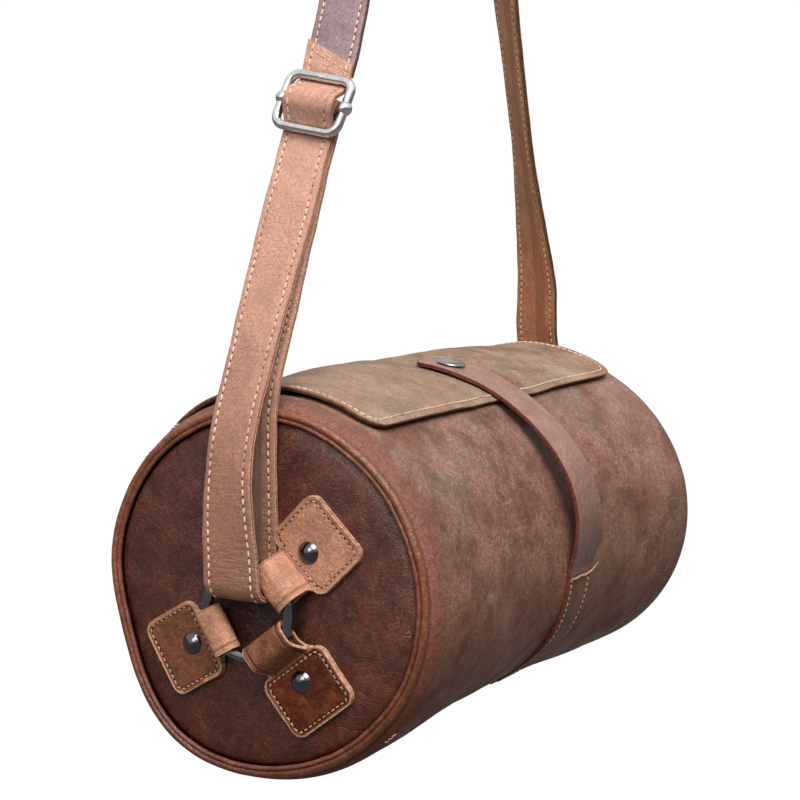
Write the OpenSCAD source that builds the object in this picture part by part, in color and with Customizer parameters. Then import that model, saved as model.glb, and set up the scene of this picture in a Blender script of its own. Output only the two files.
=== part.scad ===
// Leather barrel bag with a shoulder strap, hanging from the top of its strap.
// X runs along the barrel, the front faces -Y and +Z is up. The origin is the underside of the strap
// where it passes over what holds it. Angles round the barrel start at the front and rise to the top.

/* [Barrel] */
// Length between the two rims
barrel_l = 302; // [240:1:380]
// Radius of the barrel's leather
barrel_r = 85; // [70:1:110]
// Thickness of the barrel's leather
shell_t = 2.4; // [1.8:0.1:4]
// Thickness of the cloth lining
lining_t = 0.8; // [0.5:0.1:1.5]
// How far the leather turns in before it meets the rim
rim_drop = 5; // [3:0.5:8]
// Length over which it turns in
rim_roll = 13; // [8:1:20]
// Radius of the piping round each rim
piping_r = 2.6; // [1.5:0.1:4]

/* [End panels] */
// Thickness of an end panel's leather
panel_t = 2.4; // [1.8:0.1:4]
// How far the middle of an end panel stands past the rim
panel_rise = 3; // [1:0.5:6]
// Width of the rounded edge of an end panel
panel_edge = 10; // [6:0.5:14]
// Depth of the seam allowance turned in behind the rim
seam_depth = 9; // [5:1:15]
// Thickness of the stiffening board behind each end panel
board_t = 2; // [1:0.1:4]

/* [Mouth] */
// Length of the mouth under the flap
mouth_l = 230; // [150:1:240]
// Width of the mouth across the barrel
mouth_w = 66; // [40:1:80]
// Radius of the mouth's corners
mouth_corner = 12; // [5:1:20]
// Angle of the middle of the mouth
mouth_angle = 95; // [90:1:100]
// Thickness of the binding inside the mouth
binding_t = 1.2; // [0.8:0.1:2]
// Width of the binding's lips
binding_lip = 5; // [3:0.5:8]
// How far the lips stand off the leather and the lining
binding_rise = 0.45; // [0.3:0.05:0.7]

/* [Flap] */
// Length of the flap along the barrel
flap_l = 274; // [200:1:276]
// Angle of the flap's free edge
flap_front_angle = 58.5; // [50:0.5:65]
// Angle of the fold that the flap turns on
flap_fold_angle = 129; // [122:1:135]
// Space between the barrel and the closed flap
flap_gap = 0.8; // [0.6:0.1:2]
// Thickness of the flap's outer leather
flap_t = 0.9; // [0.6:0.1:1.5]
// Thickness of the flap's backing
backing_t = 0.9; // [0.6:0.1:1.5]
// Radius of the flap's free corners
flap_corner = 12; // [5:1:20]
// Length round the barrel of the strip that is sewn down behind the fold
root_strip_w = 16; // [10:1:25]
// Gap at the fold
fold_gap = 0.5; // [0.3:0.1:1]

/* [Closing strap] */
// Width of the closing strap
closing_w = 28; // [20:1:34]
// Thickness of the closing strap
closing_t = 2.2; // [1.5:0.1:3]
// Radius of its rounded end
paddle_r = 15.5; // [14:0.5:20]
// Angle where it leaves its stitched part
closing_root_angle = -2.5; // [-10:0.5:5]
// Angle of the lower end of its stitched part
closing_foot_angle = -58; // [-80:1:-30]
// Angle where it comes to lie over the flap
closing_rest_angle = 62.5; // [60:0.5:68]
// Angle of the snap
snap_angle = 81; // [76:1:86]
// How far the free part bows off the barrel
closing_bow = 7.5; // [4:0.5:14]
// Space between the flap and the strap at the snap
snap_space = 1; // [0.8:0.1:1.5]

/* [Snap] */
// Radius of the snap's cap
snap_cap_r = 7.3; // [5:0.1:9]
// Height of the snap's cap
snap_cap_h = 2.4; // [1.5:0.1:3.5]
// Inner radius of the socket's mouth
socket_r = 3.4; // [3:0.1:4]
// Radius of the stud
stud_r = 2.5; // [1.5:0.1:2.6]
// Height of the stud above the flap
stud_h = 1.5; // [1:0.1:1.8]
// Radius of the stud's post
stud_post_r = 1.5; // [1:0.1:2]
// Radius of the washer under the flap
stud_washer_r = 5; // [4:0.1:7]
// Thickness of the snap's sheet metal
snap_sheet_t = 0.6; // [0.4:0.1:0.8]

/* [Ring and tabs] */
// Radius of the ring's wire
ring_wire_r = 2.7; // [2:0.1:3.5]
// Radius of the ring to the middle of its wire
ring_r = 20.6; // [17:0.1:24]
// How far the wire's middle stands off the end panel
ring_off = 9; // [8.5:0.1:12]
// How far the ring's middle lies below the barrel's axis
ring_drop = 5.5; // [0:0.5:12]
// How far the ring's middle lies behind the barrel's axis
ring_back = 0.5; // [-3:0.5:3]
// Angle of the tab in front of the strap
front_tab_angle = 46; // [40:1:50]
// Angle of the tab below
lower_tab_angle = -51; // [-60:1:-45]
// Angle of the tab behind the strap
rear_tab_angle = 212; // [205:1:220]
// Thickness of the leather in a tab
tab_leather_t = 1.6; // [1.2:0.1:1.8]
// Width of a tab's head
head_w = 35; // [28:1:38]
// Length of a tab's head
head_l = 26; // [20:1:30]
// Radius of the head's corners
head_corner = 6; // [3:0.5:9]
// Distance from the ring's middle to the head
head_start = 31.8; // [31:0.1:34]
// Width of a tab's neck
neck_w = 19; // [16:0.5:21]
// Running space round the wire
wire_play = 0.3; // [0.2:0.05:0.4]

/* [Rivets] */
// Radius of a rivet's domed cap
rivet_cap_r = 5; // [3.5:0.1:6]
// Height of a rivet's domed cap
rivet_cap_h = 2.6; // [1.5:0.1:3.5]
// Radius of a rivet's post
rivet_post_r = 1.6; // [1:0.1:2.2]
// Distance from the ring's middle to a rivet
rivet_reach = 38; // [37:0.5:42]
// Thickness of the washer behind the board
rivet_washer_t = 0.8; // [0.5:0.1:1.2]

/* [Shoulder strap] */
// Width of the strap
strap_w = 26; // [22:0.5:27]
// Thickness of the doubled strap
strap_t = 2.8; // [2:0.1:3]
// Distance between the two runs where the strap turns round the ring
loop_gap = 12.9; // [12:0.1:16]
// Height of the loop's turn above the ring's middle
loop_rise = 13.8; // [12:0.1:14.5]
// How far the strap's middle lies behind the barrel's axis
strap_back = 6; // [4:0.5:8]
// How far it lies behind the axis where it turns round the ring
loop_back = 3.6; // [3:0.1:4.5]
// Height of the adjuster above the barrel's axis
adjuster_h = 214; // [200:1:240]
// How far the adjuster stands in from the rim
adjuster_in = 46; // [40:1:56]
// Lean of the near leg from upright
near_lean = 22.4; // [18:0.1:26]
// Lean of the far leg from upright
far_lean = 18; // [15:0.1:24]
// Radius of the strap's turn over what holds it
arch_r = 30; // [20:1:45]
// Greatest twist in the far leg
far_twist = 48; // [0:1:60]

/* [Adjuster] */
// Radius of the frame's wire
frame_wire_r = 2.4; // [1.5:0.1:3]
// Distance from the centre bar to the frame's upper and lower bars
frame_pitch = 12.6; // [12:0.1:16]
// Space beside the strap inside the frame
frame_side_space = 1.2; // [0.8:0.1:2]
// Corner radius of the frame, to the middle of its wire
frame_corner = 5; // [4:0.5:6]
// Radius of the centre bar
bar_r = 1.9; // [1.2:0.1:2]
// Radius of the balls that grip the frame's sides
ball_r = 3.7; // [3.2:0.1:4.5]
// Thickness of the strap's end where it is wrapped round the centre bar
wrap_t = 1.4; // [1:0.1:1.6]

/* [Hidden] */
$fn = 96;

// Overrun of every cut
over = 1;
// Space between pieces that lie against each other
seat = 0.1;
// Space between pieces that slide on each other
slide = 0.3;
// Facets along a bent strap
turn_steps = 14;
// Angle between two sections of the closing strap
closing_step = 3.5;

half_l = barrel_l / 2;
rim_r = barrel_r - rim_drop;
lining_r = barrel_r - shell_t - seat;
piping_at_r = rim_r - shell_t / 2;
shell_end = half_l - piping_r - seat;
panel_x = half_l + panel_rise;
panel_r = piping_at_r - piping_r - seat;
panel_flat_r = panel_r - panel_edge;
board_x = half_l + panel_rise - panel_t - board_t - seat;
board_r = panel_flat_r - seat;
inside_r = panel_r - panel_t - seat;
flap_in_r = barrel_r + flap_gap;
flap_out_r = flap_in_r + backing_t + flap_t;
closing_rest_r = flap_out_r + snap_space;
tab_t = 2 * tab_leather_t;
neck_r = ring_wire_r + wire_play + tab_leather_t;
neck_fold = sqrt(pow(ring_r - ring_wire_r - wire_play, 2) - pow(neck_w / 2, 2)) - tab_leather_t;
rivet_back = panel_rise - (board_x - half_l) + rivet_washer_t;
tab_angles = [front_tab_angle, lower_tab_angle, rear_tab_angle];

// The strap's middle line, in the plane along the barrel
rear_off = seat * 6 + strap_t / 2;
front_off = rear_off + loop_gap + strap_t;
turn_r = (front_off - rear_off) / 2;
turn_x = panel_x + (front_off + rear_off) / 2;
turn_z = loop_rise - ring_drop;
hump_back = frame_wire_r + slide + strap_t / 2;
wrap_r = bar_r + seat * 2 + wrap_t;
hump_front = wrap_r + slide + strap_t / 2;
hump_angle = asin((hump_back + hump_front) / frame_pitch);
bridge_w = frame_pitch + strap_t * 1.4;
wrap_back = hump_back + strap_t / 2 + slide;
wrap_tail = bridge_w + strap_t * 1.6;
run_split_share = 0.3;
adjuster_x = -(half_l - adjuster_in);
near_top = leg_point(bridge_w, -hump_back);
far_pass = [half_l + piping_r + strap_t * 1.2, barrel_r];
apex_z = (far_pass.x - near_top.x + near_top.y * tan(near_lean) + far_pass.y * tan(far_lean))
    / (tan(near_lean) + tan(far_lean));
apex_x = near_top.x + (apex_z - near_top.y) * tan(near_lean);
half_turn = (near_lean + far_lean) / 2;
arch_drop = arch_r / sin(half_turn);
arch_x = apex_x - arch_drop * sin((near_lean - far_lean) / 2);
arch_z = apex_z - arch_drop * cos((near_lean - far_lean) / 2);
hang = [arch_x, strap_back, arch_z + arch_r - strap_t / 2];
upper_split = leg_point(bridge_w + barrel_r * 1.25, -hump_back);
far_split_z = barrel_r * 1.4;
far_sewn_z = barrel_r * 0.8;

function mix(a, b, t) = a + (b - a) * t;
function smooth(t) = t * t * (3 - 2 * t);
function curve(a, b, c, d, t) =
    a * pow(1 - t, 3) + b * 3 * t * pow(1 - t, 2) + c * 3 * t * t * (1 - t) + d * pow(t, 3);
function curve_points(a, b, c, d, n) = [for (i = [0:n]) curve(a, b, c, d, i / n)];
function corner_points(a, b, c, n) = [for (i = [0:n]) mix(mix(a, b, i / n), mix(b, c, i / n), i / n)];
function unit(v) = v / norm(v);
// A straight run between two points, short of both
function run_line(a, b) = [a + unit(b - a) * seat, b - unit(b - a) * seat];
// A point of the near leg, given along it and out from it, from the adjuster's middle
function leg_point(along, out) = [
    adjuster_x + along * sin(near_lean) - out * cos(near_lean),
    adjuster_h + along * cos(near_lean) + out * sin(near_lean)
];
// Angle round the barrel to a direction in space
function round_dir(a) = [0, -cos(a), sin(a)];

// A strap: a rectangle carried along points, each with the direction of its width and a half width
module ribbon(points, widths, half_widths, thickness) {
    n = len(points);
    tangents = [for (i = [0:n - 1]) unit(points[min(i + 1, n - 1)] - points[max(i - 1, 0)])];
    normals = [for (i = [0:n - 1]) unit(cross(widths[i], tangents[i])) * thickness / 2];
    corners = [
        for (i = [0:n - 1])
            for (s = [[1, 1], [1, -1], [-1, -1], [-1, 1]])
                points[i] + widths[i] * half_widths[i] * s[0] + normals[i] * s[1]
    ];
    sides = [
        for (i = [0:n - 2])
            for (k = [0:3])
                let (a = 4 * i + k, b = 4 * i + (k + 1) % 4)
                    each [[a, a + 4, b + 4], [a, b + 4, b]]
    ];
    last = 4 * (n - 1);
    ends = [[0, 1, 2], [0, 2, 3], [last + 2, last + 1, last], [last + 3, last + 2, last]];
    polyhedron(points = corners, faces = concat(sides, ends));
}

// A strap in the plane along the barrel, at a distance behind the axis that may change along it
module flat_strap(line, backs, thickness) {
    ribbon(
        [for (i = [0:len(line) - 1]) [line[i].x, backs[i], line[i].y]],
        [for (p = line) [0, 1, 0]],
        [for (p = line) strap_w / 2],
        thickness
    );
}

module hung() {
    translate(-hang) children();
}

// Turns a profile of radius and length round the barrel's axis
module barrel_turned() {
    rotate([0, 90, 0]) rotate_extrude() children();
}

// A piece of tube round the barrel's axis, between two angles
module barrel_piece(r_in, r_out, from, to, length) {
    rotate([90, 0, -90]) rotate([0, 0, from]) rotate_extrude(angle = to - from)
        translate([r_in, -length / 2]) square([r_out - r_in, length]);
}

// Stands its children on the barrel's axis, pointing out at an angle, with X along the barrel
module outward(angle) {
    rotate([90 - angle, 0, 0]) children();
}

// Puts children on an end panel: Z points away from the barrel and X points up
module near_end() {
    translate([-panel_x, 0, 0]) rotate([0, -90, 0]) children();
}

module far_end() {
    mirror([1, 0, 0]) near_end() children();
}

module at_ring() {
    translate([-ring_drop, ring_back, 0]) children();
}

module rounded_plate(l, w, r, h) {
    linear_extrude(h) {
        square([l - 2 * r, w], center = true);
        square([l, w - 2 * r], center = true);
        for (sx = [-1, 1])
            for (sy = [-1, 1])
                translate([sx * (l / 2 - r), sy * (w / 2 - r)]) circle(r);
    }
}

// The mouth as a prism that points out of the barrel, grown or shrunk all round
module mouth_prism(grow) {
    outward(mouth_angle) translate([0, 0, barrel_r / 2])
        rounded_plate(mouth_l + 2 * grow, mouth_w + 2 * grow, mouth_corner + grow, barrel_r);
}

// Outline of the barrel's leather from the middle to one rim, moved in by a distance
function shell_line(inset) = concat(
    [[barrel_r - inset, 0]],
    [for (a = [0:15:75]) [barrel_r - inset - rim_drop * (1 - cos(a)), shell_end - rim_roll * (1 - sin(a))]],
    [[rim_r - inset, shell_end]]
);
function reversed(list) = [for (i = [len(list) - 1:-1:0]) list[i]];
function mirrored(list) = [for (p = list) [p.x, -p.y]];
function whole_line(half) = concat(reversed(mirrored(half)), [for (i = [1:len(half) - 1]) half[i]]);

module barrel_shell() {
    color("saddlebrown") hung() difference() {
        barrel_turned() polygon(concat(whole_line(shell_line(0)), reversed(whole_line(shell_line(shell_t)))));
        mouth_prism(0);
    }
}

// The lining ends in a disc that lies behind each board
module barrel_lining() {
    disc_x = board_x - rivet_washer_t - 2 * seat;
    skirt_x = half_l - piping_r - seam_depth - seat;
    half = [
        [lining_r, skirt_x - (lining_r - inside_r)], [inside_r, skirt_x],
        [inside_r, disc_x - (inside_r - board_r)], [board_r, disc_x], [0, disc_x]
    ];
    outer = concat(reversed(mirrored(half)), half);
    inner = [for (p = reversed(outer)) [max(0, p.x - lining_t), p.y - sign(p.y) * lining_t]];
    color("tan") hung() difference() {
        barrel_turned() polygon(concat(outer, inner));
        mouth_prism(0);
    }
}

// A leather edge folded over the mouth: a wall inside it and a lip on each side
module mouth_binding() {
    in_r = lining_r - lining_t - binding_rise;
    out_r = barrel_r + binding_rise;
    color("sienna") hung() {
        intersection() {
            difference() {
                mouth_prism(-seat);
                mouth_prism(-seat - binding_t);
            }
            barrel_turned() translate([in_r, -half_l]) square([out_r - in_r, barrel_l]);
        }
        for (lip = [[in_r, lining_r - lining_t - seat / 2], [barrel_r + seat / 2, out_r]])
            intersection() {
                difference() {
                    mouth_prism(binding_lip);
                    mouth_prism(-seat - binding_t / 2);
                }
                barrel_turned() translate([lip[0], -half_l]) square([lip[1] - lip[0], barrel_l]);
            }
    }
}

// Half of an end panel's profile, from the centre to the seam allowance inside the piping
function panel_line(inset) = concat(
    [[0, -inset], [panel_flat_r, -inset]],
    [
        for (a = [30:30:90])
            [
                mix(panel_flat_r, panel_r - inset, sin(a)),
                -inset - (panel_rise + piping_r) * (1 - cos(a))
            ]
    ]
);

module end_panel() {
    foot = -panel_rise - piping_r - seam_depth;
    hole_at = [for (a = tab_angles) a];
    difference() {
        rotate_extrude() polygon(concat(
            panel_line(0),
            [[panel_r, foot], [panel_r - panel_t, foot]],
            reversed(panel_line(panel_t))
        ));
        at_ring() for (a = hole_at)
            rotate([0, 0, a - 90]) translate([rivet_reach, 0, -panel_t - over])
                cylinder(r = rivet_post_r + seat, h = panel_t + 2 * over);
    }
}

module end_board() {
    translate([0, 0, board_x - panel_x]) difference() {
        cylinder(r = board_r, h = board_t);
        at_ring() for (a = tab_angles)
            rotate([0, 0, a - 90]) translate([rivet_reach, 0, -over])
                cylinder(r = rivet_post_r + seat, h = board_t + 2 * over);
    }
}

module piping() {
    translate([0, 0, -panel_rise]) rotate_extrude() translate([piping_at_r, 0]) circle(piping_r);
}

// A tab: a riveted head, and a neck that folds over the ring's wire and back under itself
module tab(angle) {
    neck_foot = head_start + head_corner;
    at_ring() rotate([0, 0, angle - 90]) difference() {
        union() {
            translate([head_start + head_l / 2, 0, 0]) rounded_plate(head_l, head_w, head_corner, tab_t);
            rotate([90, 0, 0]) linear_extrude(neck_w, center = true) {
                for (x = [neck_fold + neck_r, ring_r])
                    translate([x, ring_off]) circle(neck_r);
                polygon([
                    [neck_fold + neck_r, ring_off + neck_r], [neck_fold + neck_r, ring_off - neck_r],
                    [ring_r + neck_r * 0.7, ring_off - neck_r], [head_start, 0], [neck_foot, 0],
                    [neck_foot, tab_t], [head_start, tab_t],
                    [ring_r + neck_r * 0.9, ring_off + neck_r * 0.45], [ring_r, ring_off + neck_r]
                ]);
            }
        }
        translate([0, 0, ring_off]) rotate_extrude() translate([ring_r, 0])
            circle(ring_wire_r + wire_play);
        translate([rivet_reach, 0, -over]) cylinder(r = rivet_post_r + seat, h = tab_t + 2 * over);
    }
}

// One rivet: a domed cap, its post and the washer behind the board
module rivet() {
    dome_r = (pow(rivet_cap_r, 2) + pow(rivet_cap_h, 2)) / (2 * rivet_cap_h);
    rotate_extrude() polygon(concat(
        [[0, -rivet_back], [rivet_cap_r, -rivet_back], [rivet_cap_r, rivet_washer_t - rivet_back]],
        [[rivet_post_r, rivet_washer_t - rivet_back], [rivet_post_r, tab_t], [rivet_cap_r, tab_t]],
        [
            for (a = [10:10:90])
                let (z = rivet_cap_h * sin(a))
                    [sqrt(max(0, pow(dome_r, 2) - pow(dome_r - rivet_cap_h + z, 2))), tab_t + z]
        ]
    ));
}

module rivets() {
    at_ring() for (a = tab_angles)
        rotate([0, 0, a - 90]) translate([rivet_reach, 0, 0]) rivet();
}

module ring() {
    at_ring() translate([0, 0, ring_off]) rotate_extrude() translate([ring_r, 0]) circle(ring_wire_r);
}

module near_end_panel() {
    color("sienna") hung() near_end() end_panel();
}

module far_end_panel() {
    color("sienna") hung() far_end() end_panel();
}

module near_end_board() {
    color("burlywood") hung() near_end() end_board();
}

module far_end_board() {
    color("burlywood") hung() far_end() end_board();
}

module near_piping() {
    color("chocolate") hung() near_end() piping();
}

module far_piping() {
    color("chocolate") hung() far_end() piping();
}

module near_front_tab() {
    color("peru") hung() near_end() tab(front_tab_angle);
}

module near_lower_tab() {
    color("peru") hung() near_end() tab(lower_tab_angle);
}

module near_rear_tab() {
    color("peru") hung() near_end() tab(rear_tab_angle);
}

module far_front_tab() {
    color("peru") hung() far_end() tab(front_tab_angle);
}

module far_lower_tab() {
    color("peru") hung() far_end() tab(lower_tab_angle);
}

module far_rear_tab() {
    color("peru") hung() far_end() tab(rear_tab_angle);
}

module near_rivets() {
    color("dimgray") hung() near_end() rivets();
}

module far_rivets() {
    color("dimgray") hung() far_end() rivets();
}

module near_ring() {
    color("dimgray") hung() near_end() ring();
}

module far_ring() {
    color("dimgray") hung() far_end() ring();
}

// One layer of the flap, with its free corners rounded and a hole for the stud's post
module flap_layer(r_in, r_out) {
    corner_angle = flap_front_angle + flap_corner / flap_out_r * 180 / PI;
    difference() {
        barrel_piece(r_in, r_out, flap_front_angle, flap_fold_angle, flap_l);
        for (side = [-1, 1])
            outward(corner_angle) translate([side * (flap_l / 2 - flap_corner), 0, r_in - over])
                linear_extrude(r_out - r_in + 2 * over) difference() {
                    translate([side > 0 ? 0 : -2 * flap_corner, -2 * flap_corner])
                        square(2 * flap_corner);
                    circle(flap_corner * 1.03);
                }
        outward(snap_angle) translate([0, 0, r_in - over])
            cylinder(r = stud_post_r + seat, h = r_out - r_in + 2 * over);
    }
}

module flap() {
    color("darkolivegreen") hung() flap_layer(flap_in_r + backing_t, flap_out_r);
}

module flap_backing() {
    color("peru") hung() flap_layer(flap_in_r, flap_in_r + backing_t - seat / 5);
}

// The flap's margin behind its fold, sewn flat on the barrel
module flap_root_strip() {
    gap_angle = fold_gap / flap_out_r * 180 / PI;
    strip_angle = root_strip_w / flap_out_r * 180 / PI;
    color("darkolivegreen") hung() barrel_piece(
        barrel_r + seat, barrel_r + seat + backing_t + flap_t,
        flap_fold_angle + gap_angle, flap_fold_angle + gap_angle + strip_angle, flap_l
    );
}

// The stud on the flap, with its washer underneath
module snap_stud() {
    washer_top = sqrt(pow(flap_in_r, 2) - pow(stud_washer_r, 2)) - seat;
    color("silver") hung() outward(snap_angle) rotate_extrude() polygon(concat(
        [[0, washer_top - snap_sheet_t], [stud_washer_r, washer_top - snap_sheet_t]],
        [[stud_washer_r, washer_top], [stud_post_r, washer_top]],
        [[stud_post_r, flap_out_r + seat], [stud_r, flap_out_r + seat]],
        [for (a = [0:15:90]) [stud_r * cos(a), flap_out_r + stud_h - (stud_h - snap_sheet_t) * (1 - sin(a))]]
    ));
}

// Inner radius of the closing strap at an angle round the barrel
function closing_in_r(a) =
    let (t = min(1, (a - closing_root_angle) / (closing_rest_angle - closing_root_angle)))
        mix(barrel_r + seat, closing_rest_r, smooth(t))
            + closing_bow * pow(max(0, sin(180 * pow(max(t, 0), 0.7))), 1.5);
// Half width of the closing strap, which widens a little to its round end
function closing_half_w(a) =
    let (
        past = (a - snap_angle) * PI / 180 * closing_rest_r,
        wide = mix(closing_w / 2, paddle_r, smooth(min(1, max(0, (past + 2 * paddle_r) / (2 * paddle_r)))))
    )
        past <= 0 ? wide : sqrt(max(0, pow(paddle_r, 2) - pow(past, 2)));

module closing_strap_foot() {
    gap_angle = fold_gap / barrel_r * 180 / PI;
    color("brown") hung() barrel_piece(
        barrel_r + seat, barrel_r + seat + closing_t, closing_foot_angle, closing_root_angle - gap_angle, closing_w
    );
}

module closing_strap() {
    tip = paddle_r * 0.98 / closing_rest_r * 180 / PI;
    count = ceil((snap_angle - closing_root_angle) / closing_step);
    angles = concat(
        [for (i = [0:count]) mix(closing_root_angle, snap_angle, i / count)],
        [for (share = [0.35, 0.6, 0.8, 0.92, 1]) snap_angle + tip * share]
    );
    color("brown") hung() difference() {
        ribbon(
            [for (a = angles) round_dir(a) * (closing_in_r(a) + closing_t / 2)],
            [for (a = angles) [1, 0, 0]],
            [for (a = angles) closing_half_w(a)],
            closing_t
        );
        outward(snap_angle) translate([0, 0, flap_out_r])
            cylinder(r = socket_r + snap_sheet_t + seat, h = snap_space + closing_t + over);
    }
}

// The domed cap on the closing strap
module snap_cap() {
    base = closing_rest_r + closing_t + seat;
    color("silver") hung() outward(snap_angle) rotate_extrude() polygon(concat(
        [[0, base]],
        [for (a = [0:15:90]) [snap_cap_r * cos(a), base + snap_sheet_t + (snap_cap_h - snap_sheet_t) * sin(a)]],
        []
    ));
}

// The socket under the cap, a ring set in the strap's hole
module snap_socket() {
    top = closing_rest_r + closing_t + seat;
    color("silver") hung() outward(snap_angle) rotate_extrude() polygon([
        [0, top], [0, top - snap_sheet_t], [socket_r, top - snap_sheet_t], [socket_r, closing_rest_r],
        [socket_r + snap_sheet_t, closing_rest_r], [socket_r + snap_sheet_t, top]
    ]);
}

// The strap's middle line: up behind the ring, round it, and up in front
front_rim = [-(half_l + piping_r + strap_t * 1.36), barrel_r + strap_t * 1.8];
front_top = leg_point(-bridge_w, -hump_back);
front_dir = unit(front_top - front_rim);
rear_rim = [-(panel_x + 2 * seat + strap_t / 2), rim_r - 2 * strap_t];
rear_top = leg_point(-wrap_tail, -wrap_back - strap_t / 2);
rear_knee = [rear_rim.x, barrel_r + strap_t / 2];
rear_bend_end = mix(rear_knee, rear_top, 0.12);
front_split = mix(front_rim, front_top, run_split_share);
rear_split = mix(rear_bend_end, rear_top, run_split_share);
turn_line = [
    for (i = [0:turn_steps])
        let (a = 180 * i / turn_steps)
            [-turn_x + turn_r * cos(a), turn_z - turn_r * sin(a)]
];
front_line = concat(
    curve_points(
        [-turn_x - turn_r, turn_z], [-turn_x - turn_r - strap_t * 0.6, mix(turn_z, front_rim.y, 0.35)],
        front_rim - front_dir * barrel_r * 0.35, front_rim, 10
    ),
    [front_split]
);
rear_line = concat([[-turn_x + turn_r, turn_z]], corner_points(rear_rim, rear_knee, rear_bend_end, 5), [rear_split]);
loop_line = concat(reversed(rear_line), [for (i = [1:turn_steps - 1]) turn_line[i]], front_line);
// The strap lies further forward where it turns round the ring
function loop_back_at(p) = mix(loop_back, strap_back, smooth(min(1, max(0, (p.y - turn_z) / (rim_r - turn_z)))));

module strap_loop() {
    color("peru") hung() flat_strap(loop_line, [for (p = loop_line) loop_back_at(p)], strap_t);
}

module front_run() {
    color("peru") hung() flat_strap(run_line(front_split, front_top), [strap_back, strap_back], strap_t);
}

module rear_run() {
    color("peru") hung() flat_strap(run_line(rear_split, rear_top), [strap_back, strap_back], strap_t);
}

// The strap passes behind the lower bar, over the centre bar and behind the upper bar
bridge_half = concat(
    [[-bridge_w, -hump_back]],
    [
        for (i = [0:3])
            let (a = hump_angle * i / 3)
                [-frame_pitch + hump_back * sin(a), -hump_back * cos(a)]
    ],
    [
        for (i = [0:3])
            let (a = -hump_angle * (1 - i / 4))
                [hump_front * sin(a), hump_front * cos(a)]
    ]
);
bridge_line = concat(
    bridge_half, [[0, hump_front]], [for (i = [len(bridge_half) - 1:-1:0]) [-bridge_half[i].x, bridge_half[i].y]]
);

module strap_bridge() {
    line = [for (p = bridge_line) leg_point(p.x, p.y)];
    color("peru") hung() flat_strap(line, [for (p = line) strap_back], strap_t);
}

// Stands children on the near leg: X along the bars, Y up the leg, Z out from the barrel
module on_leg() {
    middle = leg_point(0, 0);
    translate([middle.x, strap_back, middle.y]) rotate([0, near_lean, 0]) rotate([90, 0, -90]) children();
}

// The strap's end, wrapped round the centre bar and sewn behind the running strap
module strap_end_wrap() {
    color("peru") hung() on_leg() rotate([90, 0, 90]) linear_extrude(strap_w, center = true) difference() {
        union() {
            circle(wrap_r);
            polygon([
                each [
                    for (i = [4:-1:0])
                        let (a = hump_angle * i / 4)
                            [-frame_pitch + wrap_back * sin(a), -wrap_back * cos(a)]
                ],
                [-wrap_tail, -wrap_back], [-wrap_tail, -wrap_back - strap_t],
                [-frame_pitch, -wrap_back - strap_t], [-frame_pitch * 0.5, -wrap_back - strap_t * 0.3],
                [0, -wrap_r], [-wrap_r * 0.9, -wrap_r * 0.4]
            ]);
        }
        circle(bar_r + seat);
    }
}

frame_half_w = strap_w / 2 + frame_side_space + frame_wire_r;

// A bent and welded rectangle of round wire
module adjuster_frame() {
    side_l = 2 * (frame_pitch - frame_corner);
    bar_l = 2 * (frame_half_w - frame_corner);
    color("silver") hung() on_leg() {
        for (s = [-1, 1]) {
            translate([s * frame_half_w, 0, 0]) rotate([90, 0, 0])
                cylinder(r = frame_wire_r, h = side_l, center = true);
            translate([0, s * frame_pitch, 0]) rotate([0, 90, 0])
                cylinder(r = frame_wire_r, h = bar_l, center = true);
        }
        for (q = [[1, 1, 0], [-1, 1, 90], [-1, -1, 180], [1, -1, 270]])
            translate([q[0] * (frame_half_w - frame_corner), q[1] * (frame_pitch - frame_corner), 0])
                rotate([0, 0, q[2]]) rotate_extrude(angle = 90)
                    translate([frame_corner, 0]) circle(frame_wire_r);
    }
}

// The centre bar, with a ball at each end that grips the frame's side
module adjuster_bar() {
    color("silver") hung() on_leg() difference() {
        union() {
            rotate([0, 90, 0]) cylinder(r = bar_r, h = 2 * frame_half_w, center = true);
            for (s = [-1, 1])
                translate([s * frame_half_w, 0, 0]) sphere(ball_r);
        }
        for (s = [-1, 1])
            translate([s * frame_half_w, 0, 0]) rotate([90, 0, 0])
                cylinder(r = frame_wire_r + seat / 5, h = 2 * (ball_r + over), center = true);
    }
}

// The long strap: up the near leg, over the top and down the twisted far leg
arch_line = [
    for (i = [0:turn_steps])
        let (a = mix(180 - near_lean, far_lean, i / turn_steps))
            [arch_x + arch_r * cos(a), arch_z + arch_r * sin(a)]
];
far_steps = 18;
far_line = [
    for (i = [1:far_steps])
        let (z = mix(arch_line[turn_steps].y, far_split_z, i / far_steps))
            [far_pass.x - (z - far_pass.y) * tan(far_lean), z]
];
upper_line = concat([upper_split], arch_line, far_line);
function twist_at(p) =
    p.x < arch_x ? 0
        : far_twist * sin(180 * min(1, max(0, (p.y - far_split_z) / (arch_line[turn_steps].y - far_split_z))));

module upper_run() {
    color("rosybrown") hung() flat_strap(run_line(near_top, upper_split), [strap_back, strap_back], strap_t);
}

module strap_upper() {
    color("rosybrown") hung() ribbon(
        [for (p = upper_line) [p.x, strap_back, p.y]],
        [for (p = upper_line) [sin(twist_at(p)), cos(twist_at(p)), 0]],
        [for (p = upper_line) strap_w / 2],
        strap_t
    );
}

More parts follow.
